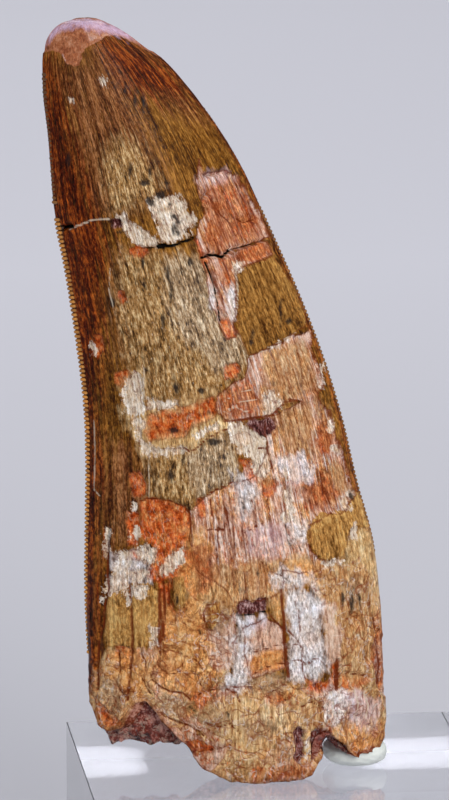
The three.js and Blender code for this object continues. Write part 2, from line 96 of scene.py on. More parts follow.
# Marks of the tooth: outlines, in pixels of the photograph, of where each finish shows. The far face has them
# too, drifted out of place.
MARKS = {
    "chocolate": [
        [(36, 58), (52, 56), (60, 75), (66, 100), (72, 130), (80, 160), (92, 190), (100, 215), (110, 240),
         (110, 262), (103, 290), (105, 320), (103, 350), (98, 380), (97, 430), (103, 462), (100, 500),
         (100, 520), (100, 560), (102, 600), (98, 650), (93, 690), (80, 700), (76, 480), (50, 260)],
        [(97, 37), (116, 36), (140, 47), (165, 64), (184, 84), (202, 104), (184, 92), (168, 97),
         (150, 97), (128, 92), (112, 72)],
    ],
    "brown": [
        [(52, 56), (66, 66), (84, 62), (100, 40), (116, 38), (150, 56), (176, 84), (196, 104), (204, 122),
         (176, 112), (150, 98), (136, 102), (146, 130), (160, 170), (166, 196), (150, 204), (112, 216),
         (96, 220), (80, 190), (66, 120), (50, 90)],
        [(112, 250), (150, 252), (160, 290), (150, 350), (128, 366), (112, 350), (108, 300)],
        [(106, 440), (140, 450), (146, 500), (128, 545), (106, 560), (100, 500)],
    ],
    "tan": [
        [(108, 148), (122, 136), (136, 146), (148, 164), (156, 182), (158, 194), (146, 201), (124, 212),
         (110, 212), (104, 190), (104, 166)],
        [(118, 250), (150, 252), (165, 255), (200, 258), (206, 275), (212, 300), (220, 325), (230, 345),
         (246, 358), (240, 375), (225, 388), (212, 395), (190, 402), (165, 403), (150, 395), (142, 372),
         (130, 366), (122, 350), (118, 320), (116, 290)],
        [(149, 452), (165, 449), (184, 449), (196, 449), (207, 439), (222, 433), (232, 440), (236, 455),
         (236, 472), (234, 482), (220, 488), (205, 496), (196, 503), (190, 508), (184, 506), (170, 501),
         (150, 499), (148, 480)],
        [(338, 556), (352, 548), (366, 560), (374, 600), (372, 640), (356, 655), (340, 640), (330, 610),
         (330, 575)],
    ],
    "ash": [
        [(166, 256), (203, 256), (208, 280), (214, 305), (222, 330), (238, 335), (247, 360), (238, 368),
         (226, 376), (212, 372), (203, 350), (186, 344), (174, 326), (168, 300), (163, 278)],
        [(186, 449), (207, 440), (222, 434), (232, 442), (236, 458), (234, 481), (218, 487), (198, 500),
         (190, 480)],
        [(192, 592), (201, 583), (214, 576), (215, 590), (204, 592)],
        [(157, 562), (170, 552), (184, 547), (184, 562), (172, 576), (164, 574)],
    ],
    "chalk": [
        [(288, 525), (295, 523), (299, 530), (307, 528), (307, 541), (300, 542), (293, 546), (290, 538)],
        # This chalk outline is partly bleached dentine and partly a painted highlight on the lower right of
        # the root.
        [(287, 591), (300, 588), (312, 590), (320, 606), (324, 626), (326, 646), (325, 664), (324, 680),
         (310, 682), (292, 680), (289, 660), (287, 640), (286, 612)],
        [(275, 577), (284, 571), (296, 574), (311, 578), (310, 586), (296, 588), (282, 588)],
        [(235, 616), (267, 615), (267, 621), (256, 624), (257, 634), (250, 642), (249, 660), (248, 684),
         (236, 689), (226, 686), (234, 664), (235, 640)],
        [(327, 690), (338, 688), (348, 694), (346, 716), (336, 724), (330, 712)],
        [(236, 469), (243, 472), (252, 487), (257, 498), (252, 513), (244, 515), (240, 510), (237, 492)],
        [(282, 460), (290, 456), (302, 458), (310, 474), (306, 480), (294, 478), (284, 476)],
        [(112, 556), (130, 552), (146, 566), (146, 584), (130, 594), (108, 592)],
        [(209, 284), (217, 282), (219, 300), (218, 318), (213, 306)],
        [(228, 292), (236, 290), (236, 304), (233, 318), (229, 308)],
    ],
    "cream": [
        [(146, 201), (156, 196), (169, 196), (179, 194), (184, 203), (189, 212), (197, 216), (196, 224),
         (188, 229), (192, 236), (179, 240), (166, 244), (162, 241), (156, 221), (151, 212)],
        [(113, 220), (121, 213), (127, 214), (128, 221), (138, 226), (150, 234), (159, 241), (158, 246),
         (147, 249), (142, 246), (133, 244), (127, 234), (122, 224)],
        [(98, 79), (102, 76), (107, 81), (105, 87), (99, 83)],
        [(70, 99), (74, 99), (74, 103), (71, 103)],
        [(121, 388), (127, 381), (135, 371), (141, 375), (143, 390), (144, 403), (148, 408), (142, 414),
         (134, 418), (127, 414), (122, 406)],
        [(131, 419), (140, 416), (143, 424), (141, 436), (135, 434)],
        [(146, 398), (164, 402), (180, 400), (178, 405), (160, 409), (147, 410)],
        [(148, 447), (166, 449), (184, 446), (186, 452), (164, 457), (146, 454)],
        [(137, 438), (144, 440), (151, 446), (148, 456), (140, 450)],
        [(192, 436), (204, 429), (216, 424), (222, 427), (208, 433), (198, 441)],
        [(90, 341), (93, 342), (95, 355), (91, 354)],
        [(116, 553), (124, 549), (131, 554), (132, 564), (130, 573), (130, 586), (124, 592), (108, 594),
         (105, 588), (109, 577), (114, 567)],
        [(138, 548), (150, 545), (158, 550), (154, 560), (146, 564), (138, 558)],
        [(158, 566), (170, 556), (183, 549), (185, 560), (174, 572), (164, 578)],
        [(129, 570), (142, 567), (148, 573), (144, 582), (131, 584)],
        [(128, 587), (145, 584), (149, 590), (140, 599), (129, 598)],
        [(125, 586), (129, 586), (129, 606), (126, 603)],
        [(104, 528), (112, 526), (110, 536), (108, 560), (104, 556)],
        [(102, 588), (107, 586), (106, 600), (102, 602)],
        [(131, 502), (139, 501), (138, 511), (132, 512)],
        [(130, 529), (138, 528), (138, 542), (131, 543)],
        [(150, 627), (158, 626), (157, 646), (151, 647)],
        [(229, 422), (243, 422), (252, 428), (262, 433), (268, 446), (272, 460), (270, 475), (262, 478),
         (254, 476), (252, 460), (240, 452), (230, 440)],
        [(264, 394), (275, 390), (284, 402), (276, 413), (266, 416)],
        [(281, 460), (290, 456), (298, 458), (303, 474), (309, 480), (296, 482), (284, 478)],
        [(283, 489), (291, 487), (295, 498), (297, 512), (296, 522), (284, 524), (280, 515), (288, 508)],
        [(342, 502), (347, 492), (354, 492), (350, 500), (350, 510), (344, 509)],
        [(350, 533), (356, 523), (359, 530), (356, 540), (350, 541)],
        # The next two cream outlines are painted highlights: a glint line and a glint along a ledge.
        [(320, 365), (323, 365), (325, 388), (322, 388)],
        [(268, 349), (284, 340), (291, 337), (291, 341), (276, 348)],
        [(328, 420), (333, 419), (336, 430), (333, 433)],
        [(333, 446), (338, 445), (341, 453), (336, 455)],
        [(324, 561), (344, 559), (342, 565), (328, 566)],
        [(304, 741), (309, 736), (311, 748), (309, 760), (304, 758)],
        [(316, 736), (322, 733), (325, 740), (320, 746)],
        [(233, 262), (243, 261), (244, 270), (236, 273)],
    ],
    "pink": [
        [(199, 158), (203, 168), (206, 174), (222, 171), (232, 174), (238, 177), (245, 187), (252, 199),
         (259, 212), (265, 226), (269, 237), (250, 245), (238, 249), (232, 256), (222, 259), (203, 257),
         (196, 243), (196, 232), (200, 222), (205, 213), (203, 205), (197, 190)],
        [(203, 257), (222, 259), (240, 249), (266, 240), (273, 254), (262, 260), (245, 266), (236, 271),
         (237, 305), (233, 320), (238, 332), (236, 336), (226, 339), (221, 328), (216, 315), (210, 300),
         (208, 282)],
        [(248, 359), (253, 355), (268, 349), (284, 342), (293, 335), (305, 334), (310, 329), (313, 337),
         (311, 349), (317, 361), (323, 377), (324, 387), (317, 393), (311, 401), (299, 401), (291, 398),
         (284, 402), (276, 413), (266, 418), (240, 421), (226, 420), (216, 412), (216, 398), (231, 385),
         (247, 378)],
        [(268, 420), (298, 403), (316, 396), (330, 412), (338, 440), (348, 470), (356, 495), (344, 512),
         (324, 516), (310, 526), (310, 546), (318, 558), (330, 566), (312, 574), (286, 570), (282, 590),
         (268, 600), (236, 604), (226, 590), (196, 570), (190, 540), (190, 512), (205, 497), (234, 482),
         (256, 478), (268, 452)],
        [(243, 628), (268, 618), (284, 630), (286, 668), (252, 680), (246, 660)],
        [(206, 632), (222, 612), (236, 618), (236, 655), (222, 668), (208, 660)],
        [(378, 628), (388, 640), (389, 700), (378, 690), (372, 650)],
        [(346, 712), (362, 716), (376, 730), (376, 744), (352, 742), (344, 728)],
    ],
    "rust": [
        [(303, 640), (312, 632), (318, 640), (310, 650)],
        [(362, 650), (372, 640), (377, 660), (366, 670)],
        [(116, 642), (134, 650), (130, 664), (112, 660)],
        [(97, 700), (110, 712), (122, 724), (108, 727), (97, 712)],
        [(190, 690), (206, 684), (212, 700), (200, 712)],
        [(240, 217), (250, 214), (258, 218), (256, 226), (246, 230), (238, 226)],
        [(207, 222), (214, 220), (222, 234), (216, 246), (207, 242)],
        [(214, 202), (222, 200), (226, 208), (218, 212)],
        [(193, 232), (199, 240), (208, 262), (205, 266), (199, 250)],
        [(240, 250), (252, 246), (262, 242), (272, 252), (262, 259), (250, 262), (244, 258)],
        [(222, 322), (228, 318), (237, 328), (236, 336), (226, 338)],
        [(142, 421), (149, 414), (163, 409), (190, 405), (207, 397), (215, 395), (218, 414), (207, 421),
         (192, 427), (185, 438), (161, 439), (149, 442), (144, 432)],
        [(115, 376), (120, 371), (127, 370), (130, 376), (128, 384), (122, 388), (116, 382)],
        [(129, 250), (136, 245), (143, 247), (148, 252), (143, 256), (135, 257)],
        [(95, 334), (103, 337), (105, 350), (98, 358), (92, 355)],
        [(118, 293), (124, 291), (127, 299), (122, 302)],
        [(139, 501), (151, 499), (170, 501), (184, 507), (189, 515), (191, 526), (190, 540), (184, 551),
         (173, 549), (170, 554), (160, 556), (154, 556), (151, 543), (145, 541), (139, 536)],
        [(127, 512), (139, 512), (139, 545), (128, 545)],
        [(130, 474), (138, 472), (147, 482), (146, 495), (132, 496)],
        [(128, 552), (140, 551), (146, 556), (138, 561), (130, 560)],
        [(154, 556), (190, 548), (204, 566), (196, 600), (176, 576), (160, 584), (146, 576)],
        [(233, 436), (248, 432), (254, 441), (244, 446)],
        [(240, 460), (252, 459), (258, 472), (256, 486), (246, 480)],
        [(262, 484), (272, 478), (280, 484), (274, 496), (264, 498)],
        [(160, 586), (172, 580), (170, 604), (178, 612), (176, 640), (162, 642)],
        [(310, 490), (324, 484), (330, 496), (318, 504)],
        [(240, 660), (252, 652), (284, 650), (284, 668), (254, 676), (246, 676)],
        [(266, 693), (280, 690), (286, 704), (272, 708)],
        [(183, 680), (196, 672), (204, 690), (192, 702), (184, 698)],
        [(186, 738), (205, 744), (218, 750), (200, 754), (186, 750)],
        [(332, 664), (340, 660), (340, 690), (334, 692)],
        [(304, 678), (332, 682), (330, 694), (310, 690)],
        [(348, 614), (356, 610), (364, 616), (360, 626), (350, 626)],
        [(350, 742), (376, 736), (378, 752), (360, 758), (352, 752)],
        [(196, 499), (204, 496), (207, 518), (198, 521)],
        [(340, 676), (356, 672), (371, 674), (368, 684), (350, 690), (342, 688)],
        [(223, 367), (231, 362), (240, 366), (236, 377), (226, 379)],
        [(317, 424), (328, 422), (334, 436), (332, 452), (322, 454)],
        [(238, 566), (246, 563), (253, 566), (250, 572), (240, 572)],
    ],
    "buff": [
        [(268, 351), (284, 344), (300, 340), (308, 346), (314, 366), (318, 384), (310, 394), (296, 399),
         (284, 404), (274, 412), (266, 412), (262, 396), (268, 384), (262, 370)],
        [(276, 412), (296, 403), (312, 404), (316, 424), (314, 452), (306, 462), (292, 456), (284, 452),
         (280, 432)],
        [(318, 396), (328, 412), (334, 430), (330, 446), (322, 424), (316, 408)],
        [(328, 460), (344, 466), (352, 488), (340, 500), (330, 484)],
        [(262, 474), (272, 468), (276, 480), (268, 490)],
        [(190, 576), (214, 560), (238, 566), (262, 558), (290, 562), (290, 596), (268, 608), (238, 612),
         (206, 606)],
        [(314, 567), (340, 566), (366, 570), (374, 600), (374, 650), (366, 680), (350, 690), (344, 660),
         (334, 640), (328, 612), (318, 590)],
        [(299, 704), (314, 700), (326, 706), (328, 722), (316, 730), (302, 726)],
    ],
    "ochre": [
        [(108, 648), (160, 646), (176, 612), (196, 598), (236, 606), (238, 650), (222, 690), (262, 676),
         (300, 684), (330, 690), (344, 640), (330, 610), (312, 580), (326, 566), (360, 560), (384, 590),
         (392, 640), (392, 760), (320, 790), (190, 790), (150, 720), (120, 740), (80, 740), (86, 690)],
    ],
    "orange": [
        [(186, 531), (200, 526), (211, 545), (208, 570), (204, 590), (192, 596), (188, 570)],
        [(178, 596), (200, 598), (204, 620), (204, 646), (188, 650), (180, 630)],
        [(246, 652), (268, 648), (286, 650), (286, 668), (262, 672), (248, 674)],
        [(268, 592), (282, 590), (285, 606), (284, 622), (276, 622), (269, 606)],
        [(347, 614), (357, 611), (363, 616), (361, 626), (350, 627)],
        [(351, 646), (360, 643), (366, 650), (362, 659), (353, 658)],
        [(160, 600), (176, 612), (196, 600), (206, 632), (236, 650), (226, 668), (204, 690), (184, 700),
         (160, 690), (150, 668), (158, 640)],
        [(110, 652), (146, 650), (160, 664), (150, 690), (140, 706), (120, 690), (108, 676)],
        [(176, 556), (206, 566), (236, 600), (222, 604), (196, 600), (180, 580)],
        [(347, 722), (360, 720), (380, 716), (386, 736), (372, 756), (352, 754), (346, 736)],
        [(276, 574), (286, 560), (322, 566), (318, 582), (290, 590), (276, 604), (268, 596)],
    ],
    "mauve": [
        [(213, 630), (236, 620), (236, 656), (224, 672), (212, 664)],
        [(246, 628), (268, 618), (284, 634), (284, 648), (262, 652), (248, 660)],
        [(322, 600), (334, 606), (342, 640), (338, 664), (328, 668), (324, 640)],
        [(340, 690), (356, 690), (384, 700), (380, 716), (362, 722), (346, 714)],
    ],
    "blush": [
        # The first blush outline, along the foot of the root, is painted shadow.
        [(256, 768), (282, 770), (312, 762), (316, 774), (284, 784), (252, 782)],
        [(206, 186), (214, 183), (228, 181), (238, 180), (248, 194), (262, 222), (268, 237), (250, 244),
         (236, 247), (232, 254), (220, 256), (206, 252), (204, 240), (208, 224), (204, 210)],
        [(222, 259), (240, 250), (266, 241), (272, 253), (250, 262), (236, 270), (234, 288), (226, 290),
         (220, 276)],
        [(217, 400), (230, 388), (246, 382), (258, 388), (262, 398), (258, 412), (240, 418), (224, 416)],
        [(192, 556), (204, 546), (214, 560), (212, 586), (200, 592)],
        [(376, 616), (384, 614), (390, 640), (389, 686), (382, 684), (378, 650)],
        [(318, 420), (332, 424), (338, 446), (330, 456), (320, 444)],
        [(302, 486), (330, 474), (342, 494), (330, 510), (308, 510)],
    ],
    "straw": [
        [(120, 388), (127, 378), (137, 370), (146, 378), (147, 400), (165, 403), (195, 396), (214, 391),
         (215, 396), (207, 399), (190, 407), (163, 411), (150, 417), (145, 424), (146, 434), (150, 441),
         (161, 438), (185, 437), (193, 427), (208, 420), (219, 415), (230, 422), (229, 430), (216, 434),
         (207, 441), (197, 449), (180, 452), (160, 457), (146, 455), (138, 448), (131, 434), (124, 412)],
        [(348, 536), (356, 529), (372, 530), (380, 548), (384, 572), (374, 590), (352, 580), (346, 562)],
        [(318, 568), (340, 566), (366, 572), (374, 600), (374, 650), (366, 676), (350, 684), (344, 660),
         (334, 640), (328, 612), (318, 590)],
        [(299, 704), (314, 700), (326, 706), (328, 722), (316, 730), (302, 726)],
        [(263, 392), (276, 388), (284, 402), (276, 413), (265, 415)],
        [(210, 702), (236, 696), (262, 702), (288, 706), (292, 724), (284, 744), (250, 752), (226, 744),
         (212, 724)],
        [(288, 556), (306, 558), (318, 566), (314, 578), (300, 574), (288, 568)],
    ],
    "umber": [
        [(98, 682), (106, 676), (118, 680), (125, 694), (122, 708), (112, 714), (102, 706)],
        [(156, 697), (172, 693), (188, 698), (190, 712), (176, 718), (160, 712)],
        [(251, 676), (268, 671), (286, 674), (290, 690), (276, 696), (258, 692)],
        [(205, 605), (222, 603), (231, 610), (228, 626), (216, 633), (206, 628)],
        [(343, 583), (356, 580), (367, 590), (364, 604), (350, 606)],
        [(190, 716), (214, 706), (232, 712), (226, 730), (204, 734)],
        [(236, 722), (262, 716), (280, 724), (272, 740), (246, 742)],
    ],
    "island": [
        [(108, 592), (122, 588), (131, 583), (146, 580), (157, 592), (158, 626), (150, 646), (132, 648),
         (108, 646), (103, 640), (105, 606)],
        [(307, 531), (311, 523), (316, 517), (324, 513), (333, 512), (338, 516), (343, 511), (347, 505),
         (350, 500), (357, 492), (364, 494), (368, 508), (372, 526), (362, 526), (354, 527), (349, 532),
         (345, 538), (346, 546), (344, 555), (338, 559), (330, 560), (322, 558), (314, 552), (309, 545)],
        [(206, 606), (221, 603), (222, 614), (212, 630), (206, 628)],
        [(173, 580), (184, 578), (186, 604), (180, 610), (174, 606)],
    ],
    "plaque": [
        [(236, 270), (245, 266), (273, 256), (290, 280), (304, 308), (307, 324), (296, 332), (278, 342),
         (262, 351), (250, 356), (245, 345), (238, 330), (237, 305)],
    ],
    # Painted highlight: the violet sheen along the top of the worn tip.
    "bloom": [
        [(46, 44), (50, 32), (58, 24), (70, 18), (90, 16), (106, 20), (124, 28), (140, 42), (124, 37),
         (112, 34), (98, 30), (84, 27), (68, 27), (56, 33)],
    ],
    "flesh": [
        [(36, 54), (43, 52), (54, 50), (61, 54), (66, 63), (74, 67), (79, 65), (82, 58), (81, 54),
         (85, 48), (98, 41), (106, 36), (116, 35), (128, 40), (140, 46), (160, 57), (150, 40), (120, 14),
         (60, 10), (36, 30)],
    ],
    "lilac": [
        [(199, 182), (203, 172), (226, 171), (234, 177), (222, 182), (206, 184), (202, 192)],
        [(246, 616), (268, 614), (268, 630), (250, 632)],
        [(345, 692), (362, 690), (378, 700), (376, 736), (360, 728), (348, 716)],
        [(280, 458), (300, 456), (312, 482), (290, 484)],
        [(248, 530), (266, 524), (286, 526), (286, 552), (268, 560), (250, 552)],
    ],
    # Deep hollows: their dark is painted shade over the hollows' real depth.
    "plum": [
        [(110, 220), (120, 219), (121, 226), (113, 228)],
        [(243, 422), (255, 420), (268, 418), (275, 420), (279, 428), (273, 433), (262, 437), (255, 432),
         (248, 426)],
        [(236, 606), (240, 601), (252, 602), (268, 598), (268, 612), (252, 616), (237, 617)],
        [(293, 733), (300, 728), (308, 730), (304, 740), (306, 756), (300, 766), (294, 758), (296, 746)],
        [(311, 734), (318, 729), (330, 731), (337, 741), (349, 747), (345, 756), (332, 751), (320, 750),
         (314, 762), (311, 748)],
    ],
}

# Black specks as (x, y, half length along the tooth, half width), in pixels.
SPECKS = [
    (149, 201, 4, 3.6), (161, 195, 4, 4.2), (175, 217, 2.6, 4), (176, 227, 5, 2.2), (178, 233, 3, 2),
    (170, 205, 2, 1.4), (239, 486, 1, 1), (240, 492, 1.2, 1), (241, 498, 1, 1), (243, 503, 1.2, 1.1),
    (244, 508, 1, 1), (247, 494, 1, 1), (249, 500, 1, 1), (246, 488, 1, 1), (163, 320, 8, 2.4),
    (144, 285, 6, 1.6), (168, 272, 9, 1.6), (171, 292, 10, 1.8), (173, 431, 3, 6), (176, 388, 5, 3.2),
    (201, 391, 3, 3.4), (171, 476, 7, 2.6), (183, 457, 8, 1.4), (213, 442, 3.4, 7), (146, 371, 3, 2),
    (112, 303, 5, 3), (167, 183, 4.5, 2.2), (158, 195, 3, 3), (151, 203, 4, 3.4), (145, 183, 3, 5),
    (281, 311, 12, 1.5), (289, 321, 3, 3), (177, 599, 6, 2), (68, 160, 7, 2), (130, 170, 7, 2),
    (150, 172, 6, 1.5), (253, 334, 4, 1.8), (251, 342, 3, 2.2), (190, 262, 4, 2.4), (353, 495, 4, 1.8),
    (143, 262, 5, 1.6), (200, 632, 3, 2), (227, 715, 3, 2), (174, 230, 5, 2), (178, 222, 2, 4),
    (120, 232, 2, 3), (259, 575, 2.4, 2), (135, 100, 9, 1.6), (143, 104, 9, 1.5), (125, 92, 8, 1.3),
    (245, 505, 10, 1.2), (343, 598, 8, 2), (352, 604, 9, 2), (360, 600, 8, 1.6),
]

# Cracks as (half width in pixels, points): open gaps painted black as shade, rusty lines and pale lines.
GAPS = [
    (1.7, [(50, 229), (62, 228), (71, 227)]),
    (0.7, [(140, 249), (150, 249), (158, 246), (166, 244)]),
    (1.5, [(158, 248), (164, 248), (176, 245), (190, 240), (195, 238)]),
    (1.5, [(203, 258), (212, 255), (218, 255), (225, 257), (232, 250)]),
    (0.7, [(232, 250), (243, 247), (254, 243), (266, 239)]),
    (0.8, [(288, 525), (290, 540), (293, 546), (301, 544), (304, 552)]),
    (0.8, [(289, 560), (284, 568), (284, 577), (287, 580)]),
    (1.1, [(236, 616), (250, 616), (267, 613)]),
    (0.9, [(206, 175), (213, 174), (222, 171)]),
    (0.8, [(212, 192), (208, 193), (205, 198), (204, 206)]),
    (1.0, [(207, 262), (216, 285), (220, 305), (222, 322)]),
]
RUSTY = [
    # The first rusty line is painted shade: the shadow under a ledge.
    (1.2, [(224, 421), (240, 420), (253, 418), (273, 416), (279, 410), (286, 403), (292, 401), (298, 401)]),
    (0.9, [(165, 450), (185, 449), (190, 452), (196, 449), (207, 439), (219, 432), (227, 430)]),
    (1.0, [(139, 501), (151, 499), (169, 501), (184, 507), (190, 515)]),
    (0.9, [(196, 503), (205, 496), (220, 488), (233, 482)]),
    (1.1, [(107, 540), (107, 590), (104, 605), (103, 625), (100, 635), (98, 645), (97, 660), (97, 690)]),
    (1.1, [(129, 584), (130, 600), (131, 620), (132, 640), (131, 655), (129, 680), (127, 700)]),
    (1.5, [(158, 590), (159, 610), (159, 640), (160, 655)]),
    (0.8, [(172, 580), (171, 600), (174, 608), (180, 611), (186, 606)]),
    (1.4, [(281, 590), (284, 620), (285, 640), (287, 660), (289, 678)]),
    (0.8, [(288, 630), (298, 640), (303, 650), (303, 668), (306, 680)]),
    (0.7, [(286, 648), (296, 645), (304, 646)]),
    (0.7, [(288, 664), (298, 660), (308, 664), (322, 662)]),
    (0.7, [(303, 668), (312, 660), (318, 658), (324, 664)]),
    (0.7, [(296, 602), (300, 620), (300, 640)]),
    (0.8, [(268, 598), (268, 612), (276, 622), (285, 630)]),
    (0.9, [(224, 603), (214, 604), (205, 606), (204, 618), (207, 630), (215, 632)]),
    (0.9, [(152, 680), (160, 687), (170, 692), (182, 693), (190, 701)]),
    (0.8, [(194, 700), (203, 692), (214, 690), (226, 689), (236, 694), (240, 702)]),
    (0.8, [(164, 716), (176, 722), (190, 726), (204, 736)]),
    (0.9, [(186, 753), (204, 752), (222, 748), (236, 744)]),
    (1.5, [(338, 660), (338, 690)]),
    (0.9, [(227, 510), (230, 530), (233, 560), (235, 590)]),
    (0.7, [(245, 533), (256, 528), (264, 524)]),
    (0.7, [(206, 531), (214, 530), (224, 530)]),
    (0.7, [(224, 490), (225, 520), (224, 545)]),
    (0.7, [(256, 448), (268, 449), (274, 470), (280, 490)]),
    (0.8, [(190, 515), (191, 530), (189, 545)]),
    (0.7, [(250, 655), (266, 650), (284, 644)]),
    (0.7, [(252, 676), (268, 668), (284, 664)]),
    (1.3, [(162, 582), (164, 610), (162, 642)]),
    (0.9, [(168, 582), (168, 606)]),
    (0.6, [(152, 640), (160, 652), (158, 668), (150, 676)]),
    (0.6, [(160, 652), (174, 648), (184, 656), (182, 670), (170, 676), (158, 668)]),
    (0.6, [(184, 656), (196, 660), (204, 672), (200, 686)]),
    (0.6, [(267, 696), (274, 691), (284, 693), (286, 701), (276, 705), (268, 701)]),
    (0.6, [(226, 689), (244, 686), (262, 690), (280, 684), (300, 690), (316, 686)]),
    (0.6, [(116, 652), (120, 668), (116, 684), (124, 696)]),
    (0.6, [(140, 650), (146, 664), (142, 680), (150, 694)]),
    (0.7, [(204, 722), (216, 728), (230, 724), (240, 734)]),
    (0.7, [(300, 708), (312, 702), (324, 708), (328, 720)]),
    (0.6, [(252, 500), (258, 512), (256, 526)]),
    (0.6, [(262, 562), (270, 572), (284, 577)]),
    (0.6, [(210, 500), (212, 516), (210, 530)]),
    (0.6, [(216, 498), (219, 520), (217, 552), (220, 580)]),
    (0.6, [(244, 570), (246, 590), (243, 603)]),
    (0.6, [(322, 470), (326, 490), (334, 506)]),
    (0.7, [(296, 408), (302, 430), (300, 452)]),
    (0.6, [(288, 372), (292, 386), (291, 398)]),
    (0.6, [(300, 350), (304, 366), (306, 384)]),
    (0.9, [(374, 618), (379, 640), (382, 664), (381, 684)]),
    (0.9, [(338, 676), (352, 674), (370, 676)]),
    (0.7, [(238, 218), (246, 222), (256, 219)]),
    (0.6, [(214, 200), (222, 214), (232, 222), (238, 236)]),
]
PALE = [
    (1.0, [(69, 229), (80, 225), (92, 220), (100, 219), (109, 219)]),
    (0.6, [(149, 455), (149, 500)]),
    (0.8, [(144, 368), (144, 400)]),
    (0.5, [(94, 420), (95, 455), (94, 490), (100, 496)]),
    (0.5, [(110, 268), (109, 290), (113, 308)]),
    (0.7, [(236, 272), (238, 290), (237, 312)]),
    # This pale line is a painted highlight along the edge of a ledge.
    (0.6, [(250, 357), (262, 352), (278, 343), (296, 333)]),
    (0.5, [(222, 404), (236, 394), (252, 390)]),
    (0.5, [(228, 414), (240, 402), (258, 400)]),
    (0.5, [(224, 412), (234, 406), (246, 412), (258, 408)]),
    (0.5, [(230, 292), (233, 305), (234, 316)]),
    (0.5, [(252, 534), (256, 546), (254, 556)]),
    (0.5, [(266, 528), (268, 540), (266, 552)]),
    (0.6, [(354, 690), (358, 704), (356, 718)]),
    (0.6, [(364, 692), (368, 706), (366, 718)]),
    (0.6, [(331, 692), (334, 706), (332, 718)]),
]


def colour(label, description, red, green, blue):
    """A colour property whose default is given in 8-bit display values."""
    return FloatVectorProperty(
        name=label, description=description, subtype="COLOR_GAMMA", size=3, min=0, max=1,
        default=(red / 255, green / 255, blue / 255),
    )


class ToothSettings(bpy.types.PropertyGroup):
    """Shape of the tooth."""

    half_thickness: FloatProperty(
        name="Half thickness", description="Half of the tooth's thickness at the root",
        default=8.8 * MM, unit="LENGTH",
    )
    tip_bluntness: FloatProperty(
        name="Tip bluntness", description="Power of the thickness curve: lower is blunter", default=0.6,
    )
    crown_sharpness: FloatProperty(
        name="Crown sharpness", description="Power of the crown's section: 1 is a lens, 0.5 an oval",
        default=0.86,
    )
    root_sharpness: FloatProperty(
        name="Root sharpness", description="Power of the root's section", default=0.62,
    )
    wall: FloatProperty(
        name="Wall", description="Dentine wall at the broken rim", default=1.7 * MM, unit="LENGTH",
    )
    chip_depth: FloatProperty(
        name="Chip depth", description="Depth of the places where the enamel has spalled off",
        default=0.34 * MM, unit="LENGTH",
    )
    gap_depth: FloatProperty(
        name="Gap depth", description="Depth of the open break across the crown",
        default=1.0 * MM, unit="LENGTH",
    )
    rows: IntProperty(name="Rows", description="Rows of faces from the tip to the root", default=300)
    near_columns: IntProperty(name="Near columns", description="Faces across the shown face", default=156)
    far_columns: IntProperty(name="Far columns", description="Faces across the far face", default=92)


# What each finish of the tooth is, and its dark, middle and light tone in 8-bit display values.
FINISHES = {
    "gold": ("Golden enamel", (50, 22, 2), (114, 70, 18), (172, 120, 52)),
    "brown": ("Brown enamel of the crown", (40, 12, 2), (114, 64, 29), (174, 120, 76)),
    "chocolate": ("Dark enamel along the edges", (24, 3, 0), (86, 26, 3), (172, 84, 26)),
    "tan": ("Olive enamel of the middle", (46, 30, 16), (160, 117, 66), (226, 196, 146)),
    "ash": ("Grey weathered enamel", (62, 52, 50), (164, 136, 102), (230, 212, 184)),
    "chalk": ("Bleached dentine", (136, 122, 114), (220, 213, 208), (246, 243, 246)),
    "cream": ("Chalky chips", (138, 104, 90), (218, 200, 176), (252, 246, 238)),
    "pink": ("Fibrous dentine under the enamel", (104, 44, 30), (194, 147, 120), (240, 212, 194)),
    "rust": ("Iron-stained dentine", (84, 18, 4), (186, 76, 24), (230, 140, 76)),
    "ochre": ("Crust of the root", (116, 72, 38), (210, 168, 114), (234, 208, 160)),
    "flesh": ("Bare dentine of the worn tip", (110, 48, 24), (160, 96, 60), (192, 136, 104)),
    "stone": ("Stone in the pulp cavity", (30, 6, 2), (112, 40, 24), (206, 150, 132)),
    "orange": ("Iron-rich crust", (128, 60, 22), (208, 146, 82), (236, 194, 136)),
    "olive": ("Enamel left standing among chips", (84, 50, 14), (168, 120, 62), (204, 164, 100)),
    "buff": ("Stained dentine", (112, 66, 30), (176, 126, 78), (218, 186, 138)),
    "mauve": ("Bleached root", (112, 70, 52), (200, 162, 138), (226, 204, 186)),
    "blush": ("Iron-tinged dentine", (92, 30, 12), (156, 84, 44), (218, 152, 98)),
    "straw": ("Yellow crust", (124, 82, 42), (205, 165, 110), (240, 216, 170)),
    "umber": ("Grey-brown stains of the root", (92, 62, 40), (164, 130, 94), (204, 178, 142)),
    # Plum is the painted shade of deep hollows, and the violet spots of the chalky chips.
    "plum": ("Deep hollows", (24, 8, 8), (96, 48, 44), (196, 160, 156)),
}
TONE_NAMES = (("_dark", ", dark"), ("", ""), ("_light", ", light"))


class ToothColours(bpy.types.PropertyGroup):
    """Dark, middle and light tone of each finish on the tooth, its violet tint on worn dentine and the
    painted violet highlight of its tip.
    """

    lilac: colour("Lilac", "Violet bloom on worn dentine", 212, 190, 204)
    # Painted highlight: the violet sheen along the top of the tip.
    bloom: colour("Bloom", "Violet sheen of the tip", 206, 186, 222)
    __annotations__.update({
        finish + ending: colour(finish.capitalize() + words, description + words, *tone)
        for finish, (description, *tones) in FINISHES.items()
        for (ending, words), tone in zip(TONE_NAMES, tones)
    })


